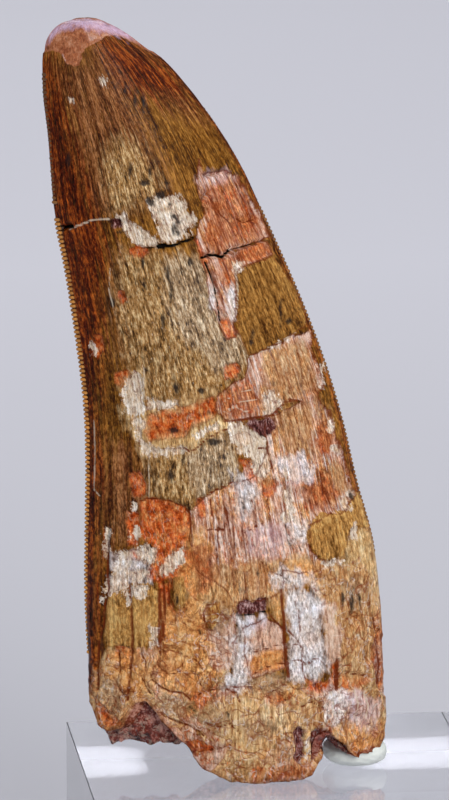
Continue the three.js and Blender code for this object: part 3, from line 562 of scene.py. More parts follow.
class SerrationSettings(bpy.types.PropertyGroup):
    """Shape and colours of the serrations."""

    pitch: FloatProperty(
        name="Pitch", description="Distance from one denticle to the next", default=0.575 * MM, unit="LENGTH",
    )
    # The crests' amber is partly the enamel's colour and partly painted highlight; the dark is painted shade
    # in the notches and the dark enamel at the denticles' roots.
    amber: colour("Amber", "Crest of a denticle", 196, 132, 58)
    dark: colour("Dark", "Notch between denticles", 44, 20, 9)


class BlockSettings(bpy.types.PropertyGroup):
    """Shape and finish of the display block."""

    edge: FloatProperty(
        name="Edge", description="Size of the polished edge", default=0.12 * MM, unit="LENGTH",
    )
    ior: FloatProperty(name="IOR", description="Index of refraction of acrylic", default=1.49)
    tint: colour("Tint", "Tint of the acrylic", 250, 251, 255)


class PuttySettings(bpy.types.PropertyGroup):
    """Shape and colour of the mounting putty."""

    fold: FloatProperty(
        name="Fold", description="Depth of the putty's folds and dents", default=0.35 * MM, unit="LENGTH",
    )
    tuck: FloatProperty(
        name="Tuck", description="How far the putty is pressed in under the root",
        default=0.9 * MM, unit="LENGTH",
    )
    grey: colour("Grey", "Colour of the putty", 224, 229, 224)


class StageSettings(bpy.types.PropertyGroup):
    """Floor, backdrop and lights."""

    paper: colour("Paper", "Colour of the floor and backdrop", 207, 207, 215)
    key_power: FloatProperty(
        name="Key power", description="Power of the overhead light", default=2.2, unit="POWER",
    )
    fill_power: FloatProperty(
        name="Fill power", description="Power of the front light", default=7.0, unit="POWER",
    )
    back_power: FloatProperty(
        name="Back power", description="Power of the light over the floor behind", default=11.0, unit="POWER",
    )
    glow_power: FloatProperty(
        name="Glow power", description="Power, per metre, of the light gathered under the block", default=2.6,
        unit="POWER",
    )
    ambient: FloatProperty(name="Ambient", description="Strength of the even light all round", default=0.4)


def linear(display):
    """A display colour as scene-linear red, green, blue and alpha."""
    return tuple(c / 12.92 if c <= 0.04045 else ((c + 0.055) / 1.055) ** 2.4 for c in display) + (1.0,)


def shade(colour_value, factor):
    """A scene-linear colour made darker or lighter."""
    return tuple(min(1.0, c * factor) for c in colour_value[:3]) + (1.0,)


class Value:
    """A shader socket whose arithmetic adds Math nodes."""

    def __init__(self, finish, socket):
        self.finish = finish
        self.socket = socket

    def _math(self, operation, *terms, clamp=False):
        settings = {"operation": operation, "use_clamp": clamp}
        return self.finish.node("ShaderNodeMath", settings, dict(enumerate(terms)))

    def __add__(self, other):
        return self._math("ADD", self, other)

    def __radd__(self, other):
        return self._math("ADD", other, self)

    def __sub__(self, other):
        return self._math("SUBTRACT", self, other)

    def __rsub__(self, other):
        return self._math("SUBTRACT", other, self)

    def __mul__(self, other):
        return self._math("MULTIPLY", self, other)

    def __rmul__(self, other):
        return self._math("MULTIPLY", other, self)

    def __truediv__(self, other):
        return self._math("DIVIDE", self, other)

    def clamped(self):
        return self._math("ADD", self, 0.0, clamp=True)

    def stretched(self, gain, middle=0.5):
        """Contrast raised about a middle value, held between 0 and 1."""
        return self._math("MULTIPLY_ADD", self, gain, 0.5 - gain * middle, clamp=True)


class Finish:
    """One material, built from shader expressions."""

    def __init__(self, name):
        self.material = bpy.data.materials.new(name)
        self.material.use_nodes = True
        self.tree = self.material.node_tree
        self.tree.nodes.clear()

    def node(self, kind, settings=None, sockets=None, output=None):
        """Adds a node with settings and sockets, by name or number; gives its first or named output."""
        made = self.tree.nodes.new(kind)
        for name, value in (settings or {}).items():
            if name == "stops":
                self._set_stops(made.color_ramp, value)
            else:
                setattr(made, name, value)
        for name, value in (sockets or {}).items():
            shown = [s for s in made.inputs if s.enabled]
            socket = shown[name] if isinstance(name, int) else next(s for s in shown if s.name == name)
            if isinstance(value, Value):
                self.tree.links.new(value.socket, socket)
            else:
                socket.default_value = value
        results = {s.name: s for s in made.outputs if s.enabled}
        return Value(self, results.get(output) or next(iter(results.values()))) if results else None

    def _set_stops(self, ramp, stops):
        for place, _ in stops[len(ramp.elements):]:
            ramp.elements.new(place)
        for element, (place, tone) in zip(ramp.elements, stops):
            element.position = place
            element.color = tone

    def attribute(self, name, output="Fac"):
        return self.node("ShaderNodeAttribute", {"attribute_name": name}, output=output)

    def place(self):
        return self.node("ShaderNodeTexCoord", output="Object")

    def scaled(self, vector, factors):
        return self.node("ShaderNodeVectorMath", {"operation": "MULTIPLY"}, {0: vector, 1: factors})

    def noise(self, vector, scale, detail=3.0, roughness=0.55, distortion=0.0):
        sockets = {
            "Vector": vector, "Scale": scale, "Detail": detail, "Roughness": roughness,
            "Distortion": distortion,
        }
        return self.node("ShaderNodeTexNoise", None, sockets)

    def cracks(self, vector, scale):
        """Distance to the edges of a mesh of random cells."""
        settings = {"feature": "DISTANCE_TO_EDGE"}
        return self.node("ShaderNodeTexVoronoi", settings, {"Vector": vector, "Scale": scale})

    def mix(self, factor, first, second):
        settings = {"data_type": "RGBA", "clamp_factor": True}
        return self.node("ShaderNodeMix", settings, {"Factor": factor, "A": first, "B": second})

    def tones(self, colour_value, pattern, dark, light):
        """A colour that runs from a darker to a lighter shade of itself."""
        return self.mix(pattern, shade(colour_value, dark), shade(colour_value, light))

    def ramp(self, factor, stops):
        """A colour ramp with stops given as (place, colour)."""
        return self.node("ShaderNodeValToRGB", {"stops": stops}, {"Fac": factor})

    def magnitude(self, value):
        return self.node("ShaderNodeMath", {"operation": "ABSOLUTE"}, {0: value})

    def bump(self, height, strength, distance):
        sockets = {"Strength": strength, "Distance": distance, "Height": height}
        return self.node("ShaderNodeBump", None, sockets)

    def surface(self, sockets):
        shader = self.node("ShaderNodeBsdfPrincipled", None, sockets)
        self.node("ShaderNodeOutputMaterial", None, {"Surface": shader})
        return self.material


def smooth_line(points, steps=24):
    """A centripetal Catmull-Rom curve through the points, as a fine polyline."""
    p = np.array(points, float)
    p = np.vstack([2 * p[0] - p[1], p, 2 * p[-1] - p[-2]])
    spans = np.sqrt(np.linalg.norm(np.diff(p, axis=0), axis=1))
    u = np.linspace(0, 1, steps, endpoint=False)[:, None]
    stretches = []
    for i in range(1, len(p) - 2):
        a, b, c, d = p[i - 1:i + 3]
        before, here, after = spans[i - 1:i + 2]
        leave = ((b - a) / before - (c - a) / (before + here) + (c - b) / here) * here
        arrive = ((c - b) / here - (d - b) / (here + after) + (d - c) / after) * here
        stretches.append(
            b + leave * u + (3 * (c - b) - 2 * leave - arrive) * u**2 + (2 * (b - c) + leave + arrive) * u**3
        )
    return np.vstack([*stretches, p[-2:-1]])


def point_along(line, share):
    """Points of a polyline at shares of its length."""
    run = np.concatenate([[0], np.cumsum(np.linalg.norm(np.diff(line, axis=0), axis=1))])
    at = np.asarray(share) * run[-1]
    return np.stack([np.interp(at, run, line[:, axis]) for axis in range(line.shape[1])], -1)


def smoothstep(value, low, high):
    """Runs smoothly from 0 at low to 1 at high."""
    share = np.clip((value - low) / (high - low), 0, 1)
    return share * share * (3 - 2 * share)


def roughness_field(points, scale, octaves=4, offset=0.0):
    """Fractal noise at each point, about -1 to 1."""
    moved = points * scale + offset
    return np.array([noise.fractal(Vector(p), 0.9, 2.0, octaves) for p in moved])


def view_axes():
    """The photograph's camera place and its right, up and forward directions."""
    back = np.array([
        math.sin(VIEW_AZIMUTH) * math.cos(VIEW_ELEVATION),
        -math.cos(VIEW_AZIMUTH) * math.cos(VIEW_ELEVATION),
        math.sin(VIEW_ELEVATION),
    ])
    right = np.array([math.cos(VIEW_AZIMUTH), math.sin(VIEW_AZIMUTH), 0.0])
    return VIEW_TARGET + VIEW_DISTANCE * back, right, np.cross(back, right), -back


def photo_place(points):
    """Where points of the tooth, in its own frame, lie in the photograph, in pixels."""
    eye, right, up, forward = view_axes()
    away = points + TOOTH_ORIGIN - eye
    focal = VIEW_DISTANCE / PIXEL / (away @ forward)
    return np.stack([PHOTO_WIDTH / 2 + focal * (away @ right), PHOTO_HEIGHT / 2 - focal * (away @ up)], -1)


# Where the middle of the root lies in the photograph, and how the marks of the far face drift between the tip
# and the root: how far and over what run they swing across and along the tooth, in pixels.
ROOT_PIXEL = (236, 778)
DRIFT_FROM, DRIFT_TO = (60, 200), (620, 740)
DRIFT_ACROSS, RUN_ACROSS = 18, 47
DRIFT_ALONG, RUN_ALONG = 52, 55


def straight_place(points):
    """Pixels straight through the tooth, drifted between tip and root: they place the far face's marks."""
    x = ROOT_PIXEL[0] + points[:, 0] / PIXEL
    y = ROOT_PIXEL[1] - points[:, 2] / PIXEL
    drift = smoothstep(y, *DRIFT_FROM) * (1 - smoothstep(y, *DRIFT_TO))
    across = DRIFT_ACROSS * np.sin(y / RUN_ACROSS)
    along = DRIFT_ALONG * np.sin(x / RUN_ALONG + 1)
    return np.stack([x + drift * across, y + drift * along], -1)


def line_distance(at, line):
    """Distance from places to a polyline."""
    ends = np.array(line, float)
    nearest = np.full(len(at), np.inf)
    for start, end in zip(ends[:-1], ends[1:]):
        side = end - start
        share = np.clip((at - start) @ side / (side @ side), 0, 1)
        nearest = np.minimum(nearest, np.linalg.norm(at - start - share[:, None] * side, axis=1))
    return nearest


def outline_distance(at, outline):
    """Distance from places to a closed outline, negative inside it."""
    ends = np.array([*outline, outline[0]], float)
    inside = np.zeros(len(at), bool)
    for (x0, y0), (x1, y1) in zip(ends[:-1], ends[1:]):
        crosses = (y0 > at[:, 1]) != (y1 > at[:, 1])
        if y0 != y1:
            inside ^= crosses & (at[:, 0] < (x1 - x0) * (at[:, 1] - y0) / (y1 - y0) + x0)
    distance = line_distance(at, ends)
    return np.where(inside, -distance, distance)


def speck_distance(at, specks):
    """Distance to the nearest of a list of long specks."""
    nearest = np.full(len(at), np.inf)
    for x, y, half_length, half_width in specks:
        away = (at - (x, y)) / (half_width, half_length)
        distance = (np.linalg.norm(away, axis=1) - 1) * min(half_length, half_width)
        nearest = np.minimum(nearest, distance)
    return nearest


def cracks_distance(at, lines):
    """Distance to the nearest of a list of lines, less its half width."""
    return np.min([line_distance(at, points) - half_width for half_width, points in lines], axis=0)


# How far, in millimetres, the edge of each finish wanders from its outline.
RAGGEDNESS = {
    "pink": 0.25, "rust": 0.35, "cream": 0.2, "flesh": 0.12, "plum": 0.25, "island": 0.45, "ochre": 0.8,
    "chalk": 0.9, "lilac": 0.8, "orange": 0.8, "mauve": 0.8, "plaque": 0.2, "bloom": 0.5, "buff": 0.6,
    "umber": 0.8, "blush": 0.5, "straw": 0.7,
}


def mark_fields(near, points):
    """For each finish, its distance field in millimetres over points of both faces."""
    places = np.where(near[:, None], photo_place(points), straight_place(points))
    fields = {
        name: np.min([outline_distance(places, outline) for outline in outlines], axis=0)
        for name, outlines in MARKS.items()
    }
    fields["speck"] = speck_distance(places, SPECKS)
    for name, lines in (("gap", GAPS), ("rusty", RUSTY), ("pale", PALE)):
        fields[name] = cracks_distance(places, lines)
    fields = {name: field * PIXEL for name, field in fields.items()}
    wander = roughness_field(points * (1.0, 1.0, 0.6), 0.9, 4)
    for name, amount in RAGGEDNESS.items():
        fields[name] -= amount * wander
    return fields


def linked(name, data):
    """An object in the scene, from its data."""
    made = bpy.data.objects.new(name, data)
    bpy.context.scene.collection.objects.link(made)
    return made


def new_object(name, points, faces):
    """A mesh object from points in metres."""
    mesh = bpy.data.meshes.new(name)
    mesh.from_pydata(np.asarray(points).tolist(), [], faces)
    mesh.validate()
    mesh.shade_smooth()
    return linked(name, mesh)


def worked_object(name, work):
    """A mesh object from an edit mesh, which is freed."""
    mesh = bpy.data.meshes.new(name)
    work.to_mesh(mesh)
    work.free()
    return linked(name, mesh)


def add_field(mesh, name, values):
    """Stores a number or a vector for each point of a mesh."""
    kind = "FLOAT" if values.ndim == 1 else "FLOAT_VECTOR"
    attribute = mesh.attributes.new(name, kind, "POINT")
    attribute.data.foreach_set("value" if values.ndim == 1 else "vector", values.astype(np.float32).ravel())


def placed(obj, slot, *nodes):
    """Lets a piece ride with the part and stand for CAD nodes; the slot is not used."""
    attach(obj, "root")
    if nodes:
        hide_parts(*nodes)


# Along the tooth, the crown's section turns into the root's between these shares of its length.
ROOT_BLEND = (0.5, 1.0)


class ToothForm:
    """The lofted surface of the tooth, in millimetres."""

    def __init__(self, settings):
        self.settings = settings
        self.distal = smooth_line(DISTAL_EDGE)
        self.mesial = smooth_line(MESIAL_EDGE)
        self.half_thickness = settings.half_thickness / MM
        self.wall = settings.wall / MM

    def section(self, s, t):
        """Place on a face: s runs across from the distal edge, t from the tip; y is its half thickness."""
        left = point_along(self.distal, t)
        right = point_along(self.mesial, t)
        flat = left + (right - left) * s[:, None]
        thickness = self.half_thickness * (1 - (1 - t) ** 2) ** self.settings.tip_bluntness
        blend = smoothstep(t, *ROOT_BLEND)
        sharpness = self.settings.crown_sharpness * (1 - blend) + self.settings.root_sharpness * blend
        depth = thickness * np.clip(4 * s * (1 - s), 0, 1) ** sharpness
        return flat[:, 0], depth, flat[:, 1]

    def shares(self, count):
        """Places across a face, closer together near both edges."""
        even = np.linspace(0, 1, count + 1)
        return (even + (1 - np.cos(np.pi * even)) / 2) / 2

    def core_height(self, x, y):
        """Height of the stone in the broken base."""
        slope = np.interp(x, [-CORE["x"], CORE["x"]], [CORE["left"], CORE["right"]])
        flat = np.stack([x, y, np.zeros_like(x)], -1)
        return slope + CORE["lump"] * roughness_field(flat, 0.45, 3, 2.0)


# Rows of faces over the rim, the broken wall, the stone's shoulder and its floor. Those of the tooth's faces
# crowd towards the tip.
RIM_ROWS = 38
WALL_ROWS = 4
STONE_ROWS = 16
FLOOR_ROWS = 12
ROW_CROWDING = 1.1
# The broken wall rises a little from its rim and is between tooth, -1, and stone, 1. Insets stop short of the
# middle of the base.
WALL_RISE = 0.3
WALL_STONE = -0.3
INSET_LIMIT = 0.97
# The grain's width and length over a face, the share that the rim adds to that length, and its length over
# the wall, the stone and the floor as shares of it. The middle of the base goes a little further than the
# floor. Each face takes its grain to its own side.
GRAIN_WIDTH = 40.0
GRAIN_LENGTH = 105.0
RIM_GRAIN, WALL_GRAIN, STONE_GRAIN, FLOOR_GRAIN, BASE_GRAIN = 0.1, 1.12, 1.15, 1.2, 1.01
FACE_GRAIN = 50


def rim_height(x, side):
    """Height of the broken rim, on the near face where side is negative."""
    return np.where(side < 0, np.interp(x, *np.transpose(NEAR_RIM)), np.interp(x, *np.transpose(FAR_RIM)))


def tooth_grid(form):
    """Rings of points from the tip to the middle of the broken base, with what each ring knows of itself."""
    settings = form.settings
    near = form.shares(settings.near_columns)
    far = form.shares(settings.far_columns)[1:-1][::-1]
    s = np.concatenate([near, far])
    side = np.concatenate([-np.ones(len(near)), np.ones(len(far))])
    rings, along, stone = [], [], []

    def add(points, length, stony):
        rings.append(points)
        along.append(np.full(len(s), length))
        stone.append(np.full(len(s), stony))

    for row in range(1, settings.rows + 1):
        t = np.full(len(s), (row / settings.rows) ** ROW_CROWDING)
        x, depth, z = form.section(s, t)
        add(np.stack([x, side * depth, z], -1), t[0] * GRAIN_LENGTH, -1.0)
    lowest = rings[-1]
    x, y, start = lowest.T
    rim = rim_height(x, side)
    for row in range(1, RIM_ROWS + 1):
        share = row / RIM_ROWS
        height = start + (rim - start) * share
        add(np.stack([x, y, height], -1), GRAIN_LENGTH * (1 + RIM_GRAIN * share), -1.0)
    reach = np.hypot(x, y)

    def inset(amount):
        share = 1 - np.minimum(amount, INSET_LIMIT * reach) / reach
        return x * share, y * share

    for row in range(1, WALL_ROWS + 1):
        share = row / WALL_ROWS
        inner_x, inner_y = inset(form.wall * share)
        height = rim + WALL_RISE * math.sin(math.pi * share / 2)
        add(np.stack([inner_x, inner_y, height], -1), GRAIN_LENGTH * WALL_GRAIN, WALL_STONE)
    shoulder_x, shoulder_y = inset(form.wall + CORE["shoulder"])
    core = form.core_height(shoulder_x, shoulder_y)
    for row in range(1, STONE_ROWS + 1):
        share = row / STONE_ROWS
        inner_x, inner_y = inset(form.wall + CORE["shoulder"] * share)
        height = rim + WALL_RISE + (core - rim - WALL_RISE) * share
        add(np.stack([inner_x, inner_y, height], -1), GRAIN_LENGTH * STONE_GRAIN, 1.0)
    for row in range(1, FLOOR_ROWS + 1):
        share = 1 - row / (FLOOR_ROWS + 1)
        inner_x, inner_y = shoulder_x * share, shoulder_y * share
        height = form.core_height(inner_x, inner_y)
        add(np.stack([inner_x, inner_y, height], -1), GRAIN_LENGTH * FLOOR_GRAIN, 1.0)
    return s, side, np.array(rings), np.array(along), np.array(stone)


def ring_faces(rings, count, first, top, bottom):
    """Quads between rings of points, closed by a point at the top and one at the bottom."""
    def at(ring, k):
        return first + ring * count + k % count

    faces = [(top, at(0, k), at(0, k + 1)) for k in range(count)]
    for ring in range(rings - 1):
        faces += [(at(ring, k), at(ring + 1, k), at(ring + 1, k + 1), at(ring, k + 1)) for k in range(count)]
    faces += [(at(rings - 1, k), bottom, at(rings - 1, k + 1)) for k in range(count)]
    return faces


def mesh_normals(mesh):
    normals = np.empty(len(mesh.vertices) * 3, np.float32)
    mesh.vertex_normals.foreach_get("vector", normals)
    return normals.reshape(-1, 3)


# Depths of the relief: of chips in shares of the chip depth, of the rest in millimetres.
CHIP_SHARES = {"pink": 1.0, "rust": 1.15, "cream": 0.8, "flesh": 0.6, "plum": 2.6}
CRACK_DEPTH, SPECK_DEPTH, SWELL_DEPTH = 0.3, 0.12, 0.04
FIBRE_DEPTH, LUMP_DEPTH = 0.14, 0.16
STONE_DEPTH, STONE_LUMP = 0.55, 0.1
DEEPEST = 1.6
# The root's fibres and lumps begin at the first of these heights and are full below the second.
ROOT_BEGINS, ROOT_FULL = 32, 6


def relief(settings, points, fields, stone):
    """How far each point of the tooth sinks, in millimetres: chips, cracks, pits, fibres and lumps."""
    chip = settings.chip_depth / MM
    sunk = np.zeros(len(points))
    for name, share in CHIP_SHARES.items():
        sunk = np.maximum(sunk, share * chip * smoothstep(-fields[name], -0.08, 0.24))
    raised = smoothstep(-np.minimum(fields["island"], fields["plaque"]), -0.08, 0.2)
    sunk = sunk * (1 - raised)
    gap = 1 - smoothstep(fields["gap"], -0.05, 0.14)
    rusty = 1 - smoothstep(fields["rusty"], -0.05, 0.2)
    speck = 1 - smoothstep(fields["speck"], -0.2, 0.15)
    sunk = sunk + settings.gap_depth / MM * gap + CRACK_DEPTH * rusty + SPECK_DEPTH * speck
    root = smoothstep(-points[:, 2], -ROOT_BEGINS, -ROOT_FULL)
    fibres = roughness_field(points * (1.3, 1.3, 0.22), 1.0, 3, 7.0)
    lumps = roughness_field(points, 0.55, 4, 3.0)
    swells = roughness_field(points, 0.3, 2, 11.0)
    sunk += root * (FIBRE_DEPTH * fibres + LUMP_DEPTH * lumps) + SWELL_DEPTH * swells
    stony = stone > 0
    sunk[stony] = STONE_DEPTH * roughness_field(points[stony], 0.75, 5, 5.0) + STONE_LUMP * lumps[stony]
    return np.minimum(sunk, DEEPEST)


# The map's top and length, the widths of the two faces' strips and the gap at its sides.
MAP_TOP, MAP_LENGTH = 0.985, 0.97
MAP_NEAR, MAP_FAR, MAP_GAP = 0.58, 0.37, 0.02


def tooth_uv(mesh, s, along, side):
    """One map for both faces: the shown face gets the wider strip."""
    layer = mesh.uv_layers.new(name="OFBake")
    corner = np.empty(len(mesh.loops), np.int32)
    mesh.loops.foreach_get("vertex_index", corner)
    v = MAP_TOP - MAP_LENGTH * along / along.max()
    near_u = MAP_GAP + MAP_NEAR * s
    far_u = 1 - MAP_GAP - MAP_FAR * s
    faces = len(mesh.polygons)
    starts = np.empty(faces, np.int32)
    totals = np.empty(faces, np.int32)
    mesh.polygons.foreach_get("loop_start", starts)
    mesh.polygons.foreach_get("loop_total", totals)
    owner = np.repeat(np.arange(faces), totals)
    far_face = np.bincount(owner, (side[corner] > 0).astype(float), faces) > 0
    uv = np.stack([np.where(far_face[owner], far_u[corner], near_u[corner]), v[corner]], -1)
    layer.uv.foreach_set("vector", uv.astype(np.float32).ravel())


# How frayed, and how soft in millimetres, the edge of each mark is.
MASK_EDGES = {
    "ochre": (2.0, 0.8), "pink": (1.0, 0.1), "rust": (1.3, 0.4), "chalk": (3.0, 1.3), "straw": (2.0, 1.2),
    "orange": (2.0, 1.5), "buff": (2.0, 1.2), "mauve": (1.6, 0.6), "blush": (2.0, 1.3), "umber": (2.0, 1.0),
    "plaque": (0.8, 0.1), "island": (1.4, 0.2), "cream": (1.0, 0.26), "flesh": (0.5, 0.12),
    "bloom": (1.4, 0.9), "lilac": (2.0, 1.0), "plum": (1.0, 0.3), "speck": (1.0, 0.25), "gap": (0.25, 0.08),
    "rusty": (0.5, 0.1), "pale": (0.3, 0.1), "above_rim": (2.0, 1.2),
}
# Scales, per metre, of the crust's plates and its crazing, and how far in metres noise bends both.
PLATE_SCALE, CRAZE_SCALE, PLATE_BEND = 230.0, 640.0, 0.0024
# Scene-linear blacks of the specks, and of the painted shade inside the open break.
SPECK_BLACK = (0.012, 0.009, 0.009, 1.0)
GAP_SHADE = (0.003, 0.002, 0.001, 1.0)
WARM_TINT = (1.06, 0.92, 0.82)
COOL_TINT = (0.95, 1.04, 1.2)


class FossilFinish(Finish):
    """The tooth's material: patterns along its grain, tones of its finishes, masks from its fields."""

    def __init__(self, name, colours):
        super().__init__(name)
        self.colours = colours
        self.masks = {}
        self.spot = self.place()
        self.grain = self.attribute("grain", "Vector")
        wander = self.node("ShaderNodeTexNoise", None, {"Vector": self.spot, "Scale": 420.0}, "Color")
        bend = self.scaled(wander, (PLATE_BEND, PLATE_BEND, PLATE_BEND))
        self.warped = self.node("ShaderNodeVectorMath", {"operation": "ADD"}, {0: self.spot, 1: bend})
        speckle = self.grained(2.5, 0.9, 3.0)
        self.grains = self.grained(3.4, 1.1, 2.0) - 0.5
        streaks = self.grained(1.2, 0.06) * 0.45 + self.grained(0.4, 0.12) * 0.3
        self.striped = (streaks + speckle * 0.4).stretched(1.5, 0.575)
        self.dashed = (self.grained(1.2, 0.3) * 0.55 + speckle * 0.45).stretched(1.3)
        self.fibrous = (self.grained(1.5, 0.1) * 0.6 + speckle * 0.4).stretched(1.2)
        self.grainy = (self.grained(0.7, 0.45) * 0.45 + speckle * 0.55).stretched(1.15)
        self.patch = self.grained(0.3, 0.14, 3.0)
        self.mottle = self.grained(1.1, 0.6, 3.0)
        self.crusty = (self.spread(330.0) * 0.5 + self.spread(1700.0, 3.0) * 0.5).stretched(1.0)
        self.grit = self.spread(2600.0, 2.0)
        splinter = self.cells(self.scaled(self.grain, (2.4, 0.9, 1.0)), 1.0)[0]
        ripple = self.noise(self.scaled(self.grain, (3.0, 1.5, 1.0)), 1.0, 3.0, 0.7)
        self.ragged = (splinter - 0.5) * 0.16 + (ripple - 0.5) * 0.4
        self.soft = (self.noise(self.scaled(self.grain, (1.5, 0.09, 1.0)), 1.0, 4.0, 0.65) - 0.5) * 9.0
        self.broken = self.grained(0.7, 0.6, 3.0, 5.0, 0.4)
        self.shifts = {
            "chalk": (self.patch - 0.5) * 1.2, "cream": (self.mottle - 0.5) * 0.7, "rusty": 0.01,
            "pale": 0.02, "above_rim": 0.5,
        }

    def grained(self, across, along, detail=5.0, gain=4.0, middle=0.5):
        """Noise drawn out along the grain."""
        pattern = self.noise(self.scaled(self.grain, (across, along, 1.0)), 1.0, detail, 0.75)
        return pattern.stretched(gain, middle)

    def spread(self, scale, detail=5.0, gain=4.0):
        """Noise that is even in all directions."""
        return self.noise(self.spot, scale, detail, 0.7).stretched(gain)

    def cells(self, vector, scale):
        """Three random numbers for each of a mesh of random cells."""
        tone = self.node("ShaderNodeTexVoronoi", None, {"Vector": vector, "Scale": scale}, "Color")
        parts = ("Red", "Green", "Blue")
        return [self.node("ShaderNodeSeparateColor", None, {"Color": tone}, part) for part in parts]

    def toned(self, name, pattern):
        """A finish's colour, from its dark to its light tone along a pattern."""
        stops = [(0.0, f"{name}_dark"), (0.48, name), (1.0, f"{name}_light")]
        return self.ramp(pattern, [(at, linear(getattr(self.colours, tone))) for at, tone in stops])

    def contour(self, drift, level, width):
        """Thin lines where a pattern passes a level."""
        return (1.0 - self.magnitude(drift - level) / width).clamped()

    def threads(self, across, along, level, width):
        """Thin lines that wander along the grain."""
        drift = self.noise(self.scaled(self.grain, (across, along, 1.0)), 1.0, 2.0, 0.5)
        return self.contour(drift, level, width)

    def glinting(self, tone, contrast):
        """A colour with the surface's finest grains painted in: painted shade on some and painted glints on
        others.
        """
        strength = 1.0 + self.grains * contrast * (0.25 + self.patch)
        return self.node("ShaderNodeVectorMath", {"operation": "SCALE"}, {"Vector": tone, "Scale": strength})

    def tinted(self, tone, mask, tint):
        """A colour whose hue is shifted where a mask is high."""
        return self.mix(mask, tone, self.scaled(tone, tint))

    def plain(self, name, factor=1.0):
        """One tone, made darker or lighter."""
        return shade(linear(getattr(self.colours, name)), factor)

    def inside(self, name, edge, width):
        """1 within a mark, 0 outside it, with its edge moved and softened."""
        return ((edge - self.attribute(name)) / width + 0.5).clamped()

    def mask(self, name):
        """1 within a mark, 0 outside it, with the edge that the mark has of its own."""
        if name not in self.masks:
            fray, width = MASK_EDGES[name]
            edge = self.ragged * fray + self.shifts.get(name, 0.0)
            self.masks[name] = self.inside(name, edge, width)
        return self.masks[name]

    def rim(self, name, width):
        """A line along the edge of a mark."""
        return (1.0 - self.magnitude(self.ragged - self.attribute(name)) / width).clamped()


def enamel(f):
    """Enamel: golden, brown, dark along the edges, olive and grey where it is weathered, with pale flecks
    that are partly painted glints, and painted shade close to the side edges.
    """
    brown, tan = f.inside("brown", f.soft, 3.0), f.inside("tan", f.soft, 2.4)
    chocolate, ash = f.inside("chocolate", f.soft, 3.0), f.inside("ash", f.soft * 0.4, 1.4)
    base = f.mix(brown, f.toned("gold", f.striped), f.toned("brown", f.striped))
    base = f.mix(tan, base, f.toned("tan", f.dashed))
    base = f.mix(chocolate, base, f.toned("chocolate", f.striped))
    base = f.mix(ash * 0.85, base, f.toned("ash", f.dashed))
    weathered = (tan + ash).clamped()
    dark = f.grained(2.2, 0.5, 2.0, 12.0, 0.66) * (0.4 + weathered * 0.4)
    base = f.mix(dark, base, f.plain("brown_dark", 0.6))
    # Pale flecks, partly the enamel's own and partly painted glints.
    light = f.grained(3.0, 1.1, 2.0, 12.0, 0.68) * (0.4 + weathered * 0.4)
    flecks_and_glints = f.mix(weathered, f.plain("gold_light"), f.plain("cream"))
    base = f.mix(light * (1.0 - chocolate * 0.6), base, flecks_and_glints)
    dark_threads = f.threads(1.7, 0.09, 0.5, 0.07) * (0.15 + f.patch * 0.55)
    base = f.mix(dark_threads, base, f.plain("brown_dark"))
    light_threads = f.threads(1.4, 0.07, 0.56, 0.05) * f.mottle * (0.3 - chocolate * 0.15)
    base = f.mix(light_threads, base, f.plain("gold_light"))
    # Within about a millimetre of both side edges the enamel turns darkest: its dark enamel there, and
    # painted shade in the hollow beside the denticles.
    return f.mix(f.inside("edge", f.ragged + 0.7, 0.8) * 0.7, base, f.toned("chocolate", f.striped))


def crust(f):
    """Crust of the root in plates, each of its own tone."""
    red, green, blue = f.cells(f.warped, PLATE_SCALE)
    base = f.mix(red.stretched(6.0, 0.68) * 0.8, f.toned("ochre", f.crusty), f.toned("orange", f.crusty))
    base = f.mix(green.stretched(6.0, 0.74) * 0.8, base, f.toned("tan", f.crusty))
    base = f.mix(blue.stretched(6.0, 0.8) * 0.8, base, f.toned("pink", f.fibrous))
    base = f.mix(f.spread(190.0, 4.0, 6.0).stretched(1.0, 0.75) * 0.5, base, f.toned("umber", f.crusty))
    return f.mix((f.mottle * 0.6 + f.grit * 0.4).stretched(5.0, 0.78) * 0.7, base, f.toned("rust", f.grainy))


def dentine(f):
    """Fibrous dentine, stained by rust and bleached in places."""
    base = f.mix(f.patch.stretched(2.0, 0.62) * 0.8, f.toned("pink", f.fibrous), f.toned("orange", f.fibrous))
    base = f.mix((f.mottle * 0.6 + f.grit * 0.4).stretched(5.0, 0.76) * 0.6, base, f.toned("rust", f.grainy))
    base = f.mix(f.grained(1.3, 0.4, 4.0, 7.0, 0.63) * 0.7, base, f.plain("cream_light"))
    base = f.mix(f.threads(0.9, 0.06, 0.5, 0.05) * 0.55, base, f.plain("rust_dark"))
    return f.mix(f.threads(1.1, 0.07, 0.57, 0.04) * 0.5, base, f.plain("cream_light"))


def rust_stain(f):
    """Rust that mottles the dentine."""
    gritty = (f.grainy * 0.4 + f.spread(1100.0, 5.0) * 0.6).stretched(1.2)
    base = f.mix(f.mottle.stretched(1.6, 0.74) * 0.6, f.toned("rust", gritty), f.toned("orange", gritty))
    base = f.mix(f.threads(1.2, 0.6, 0.55, 0.05) * f.patch * 0.45, base, f.plain("cream"))
    return f.mix(f.grained(1.6, 1.0, 3.0, 8.0, 0.7) * 0.45, base, f.plain("rust_dark"))


def chalk_chips(f):
    """White chips with ochre stains and violet spots."""
    stains = f.grained(0.9, 0.45, 4.0, 6.0, 0.6)
    base = f.mix(stains * 0.7, f.toned("cream", f.fibrous), f.toned("ochre", f.fibrous))
    return f.mix(f.grained(1.6, 1.1, 2.0, 10.0, 0.64) * 0.7, base, f.plain("plum", 1.2))


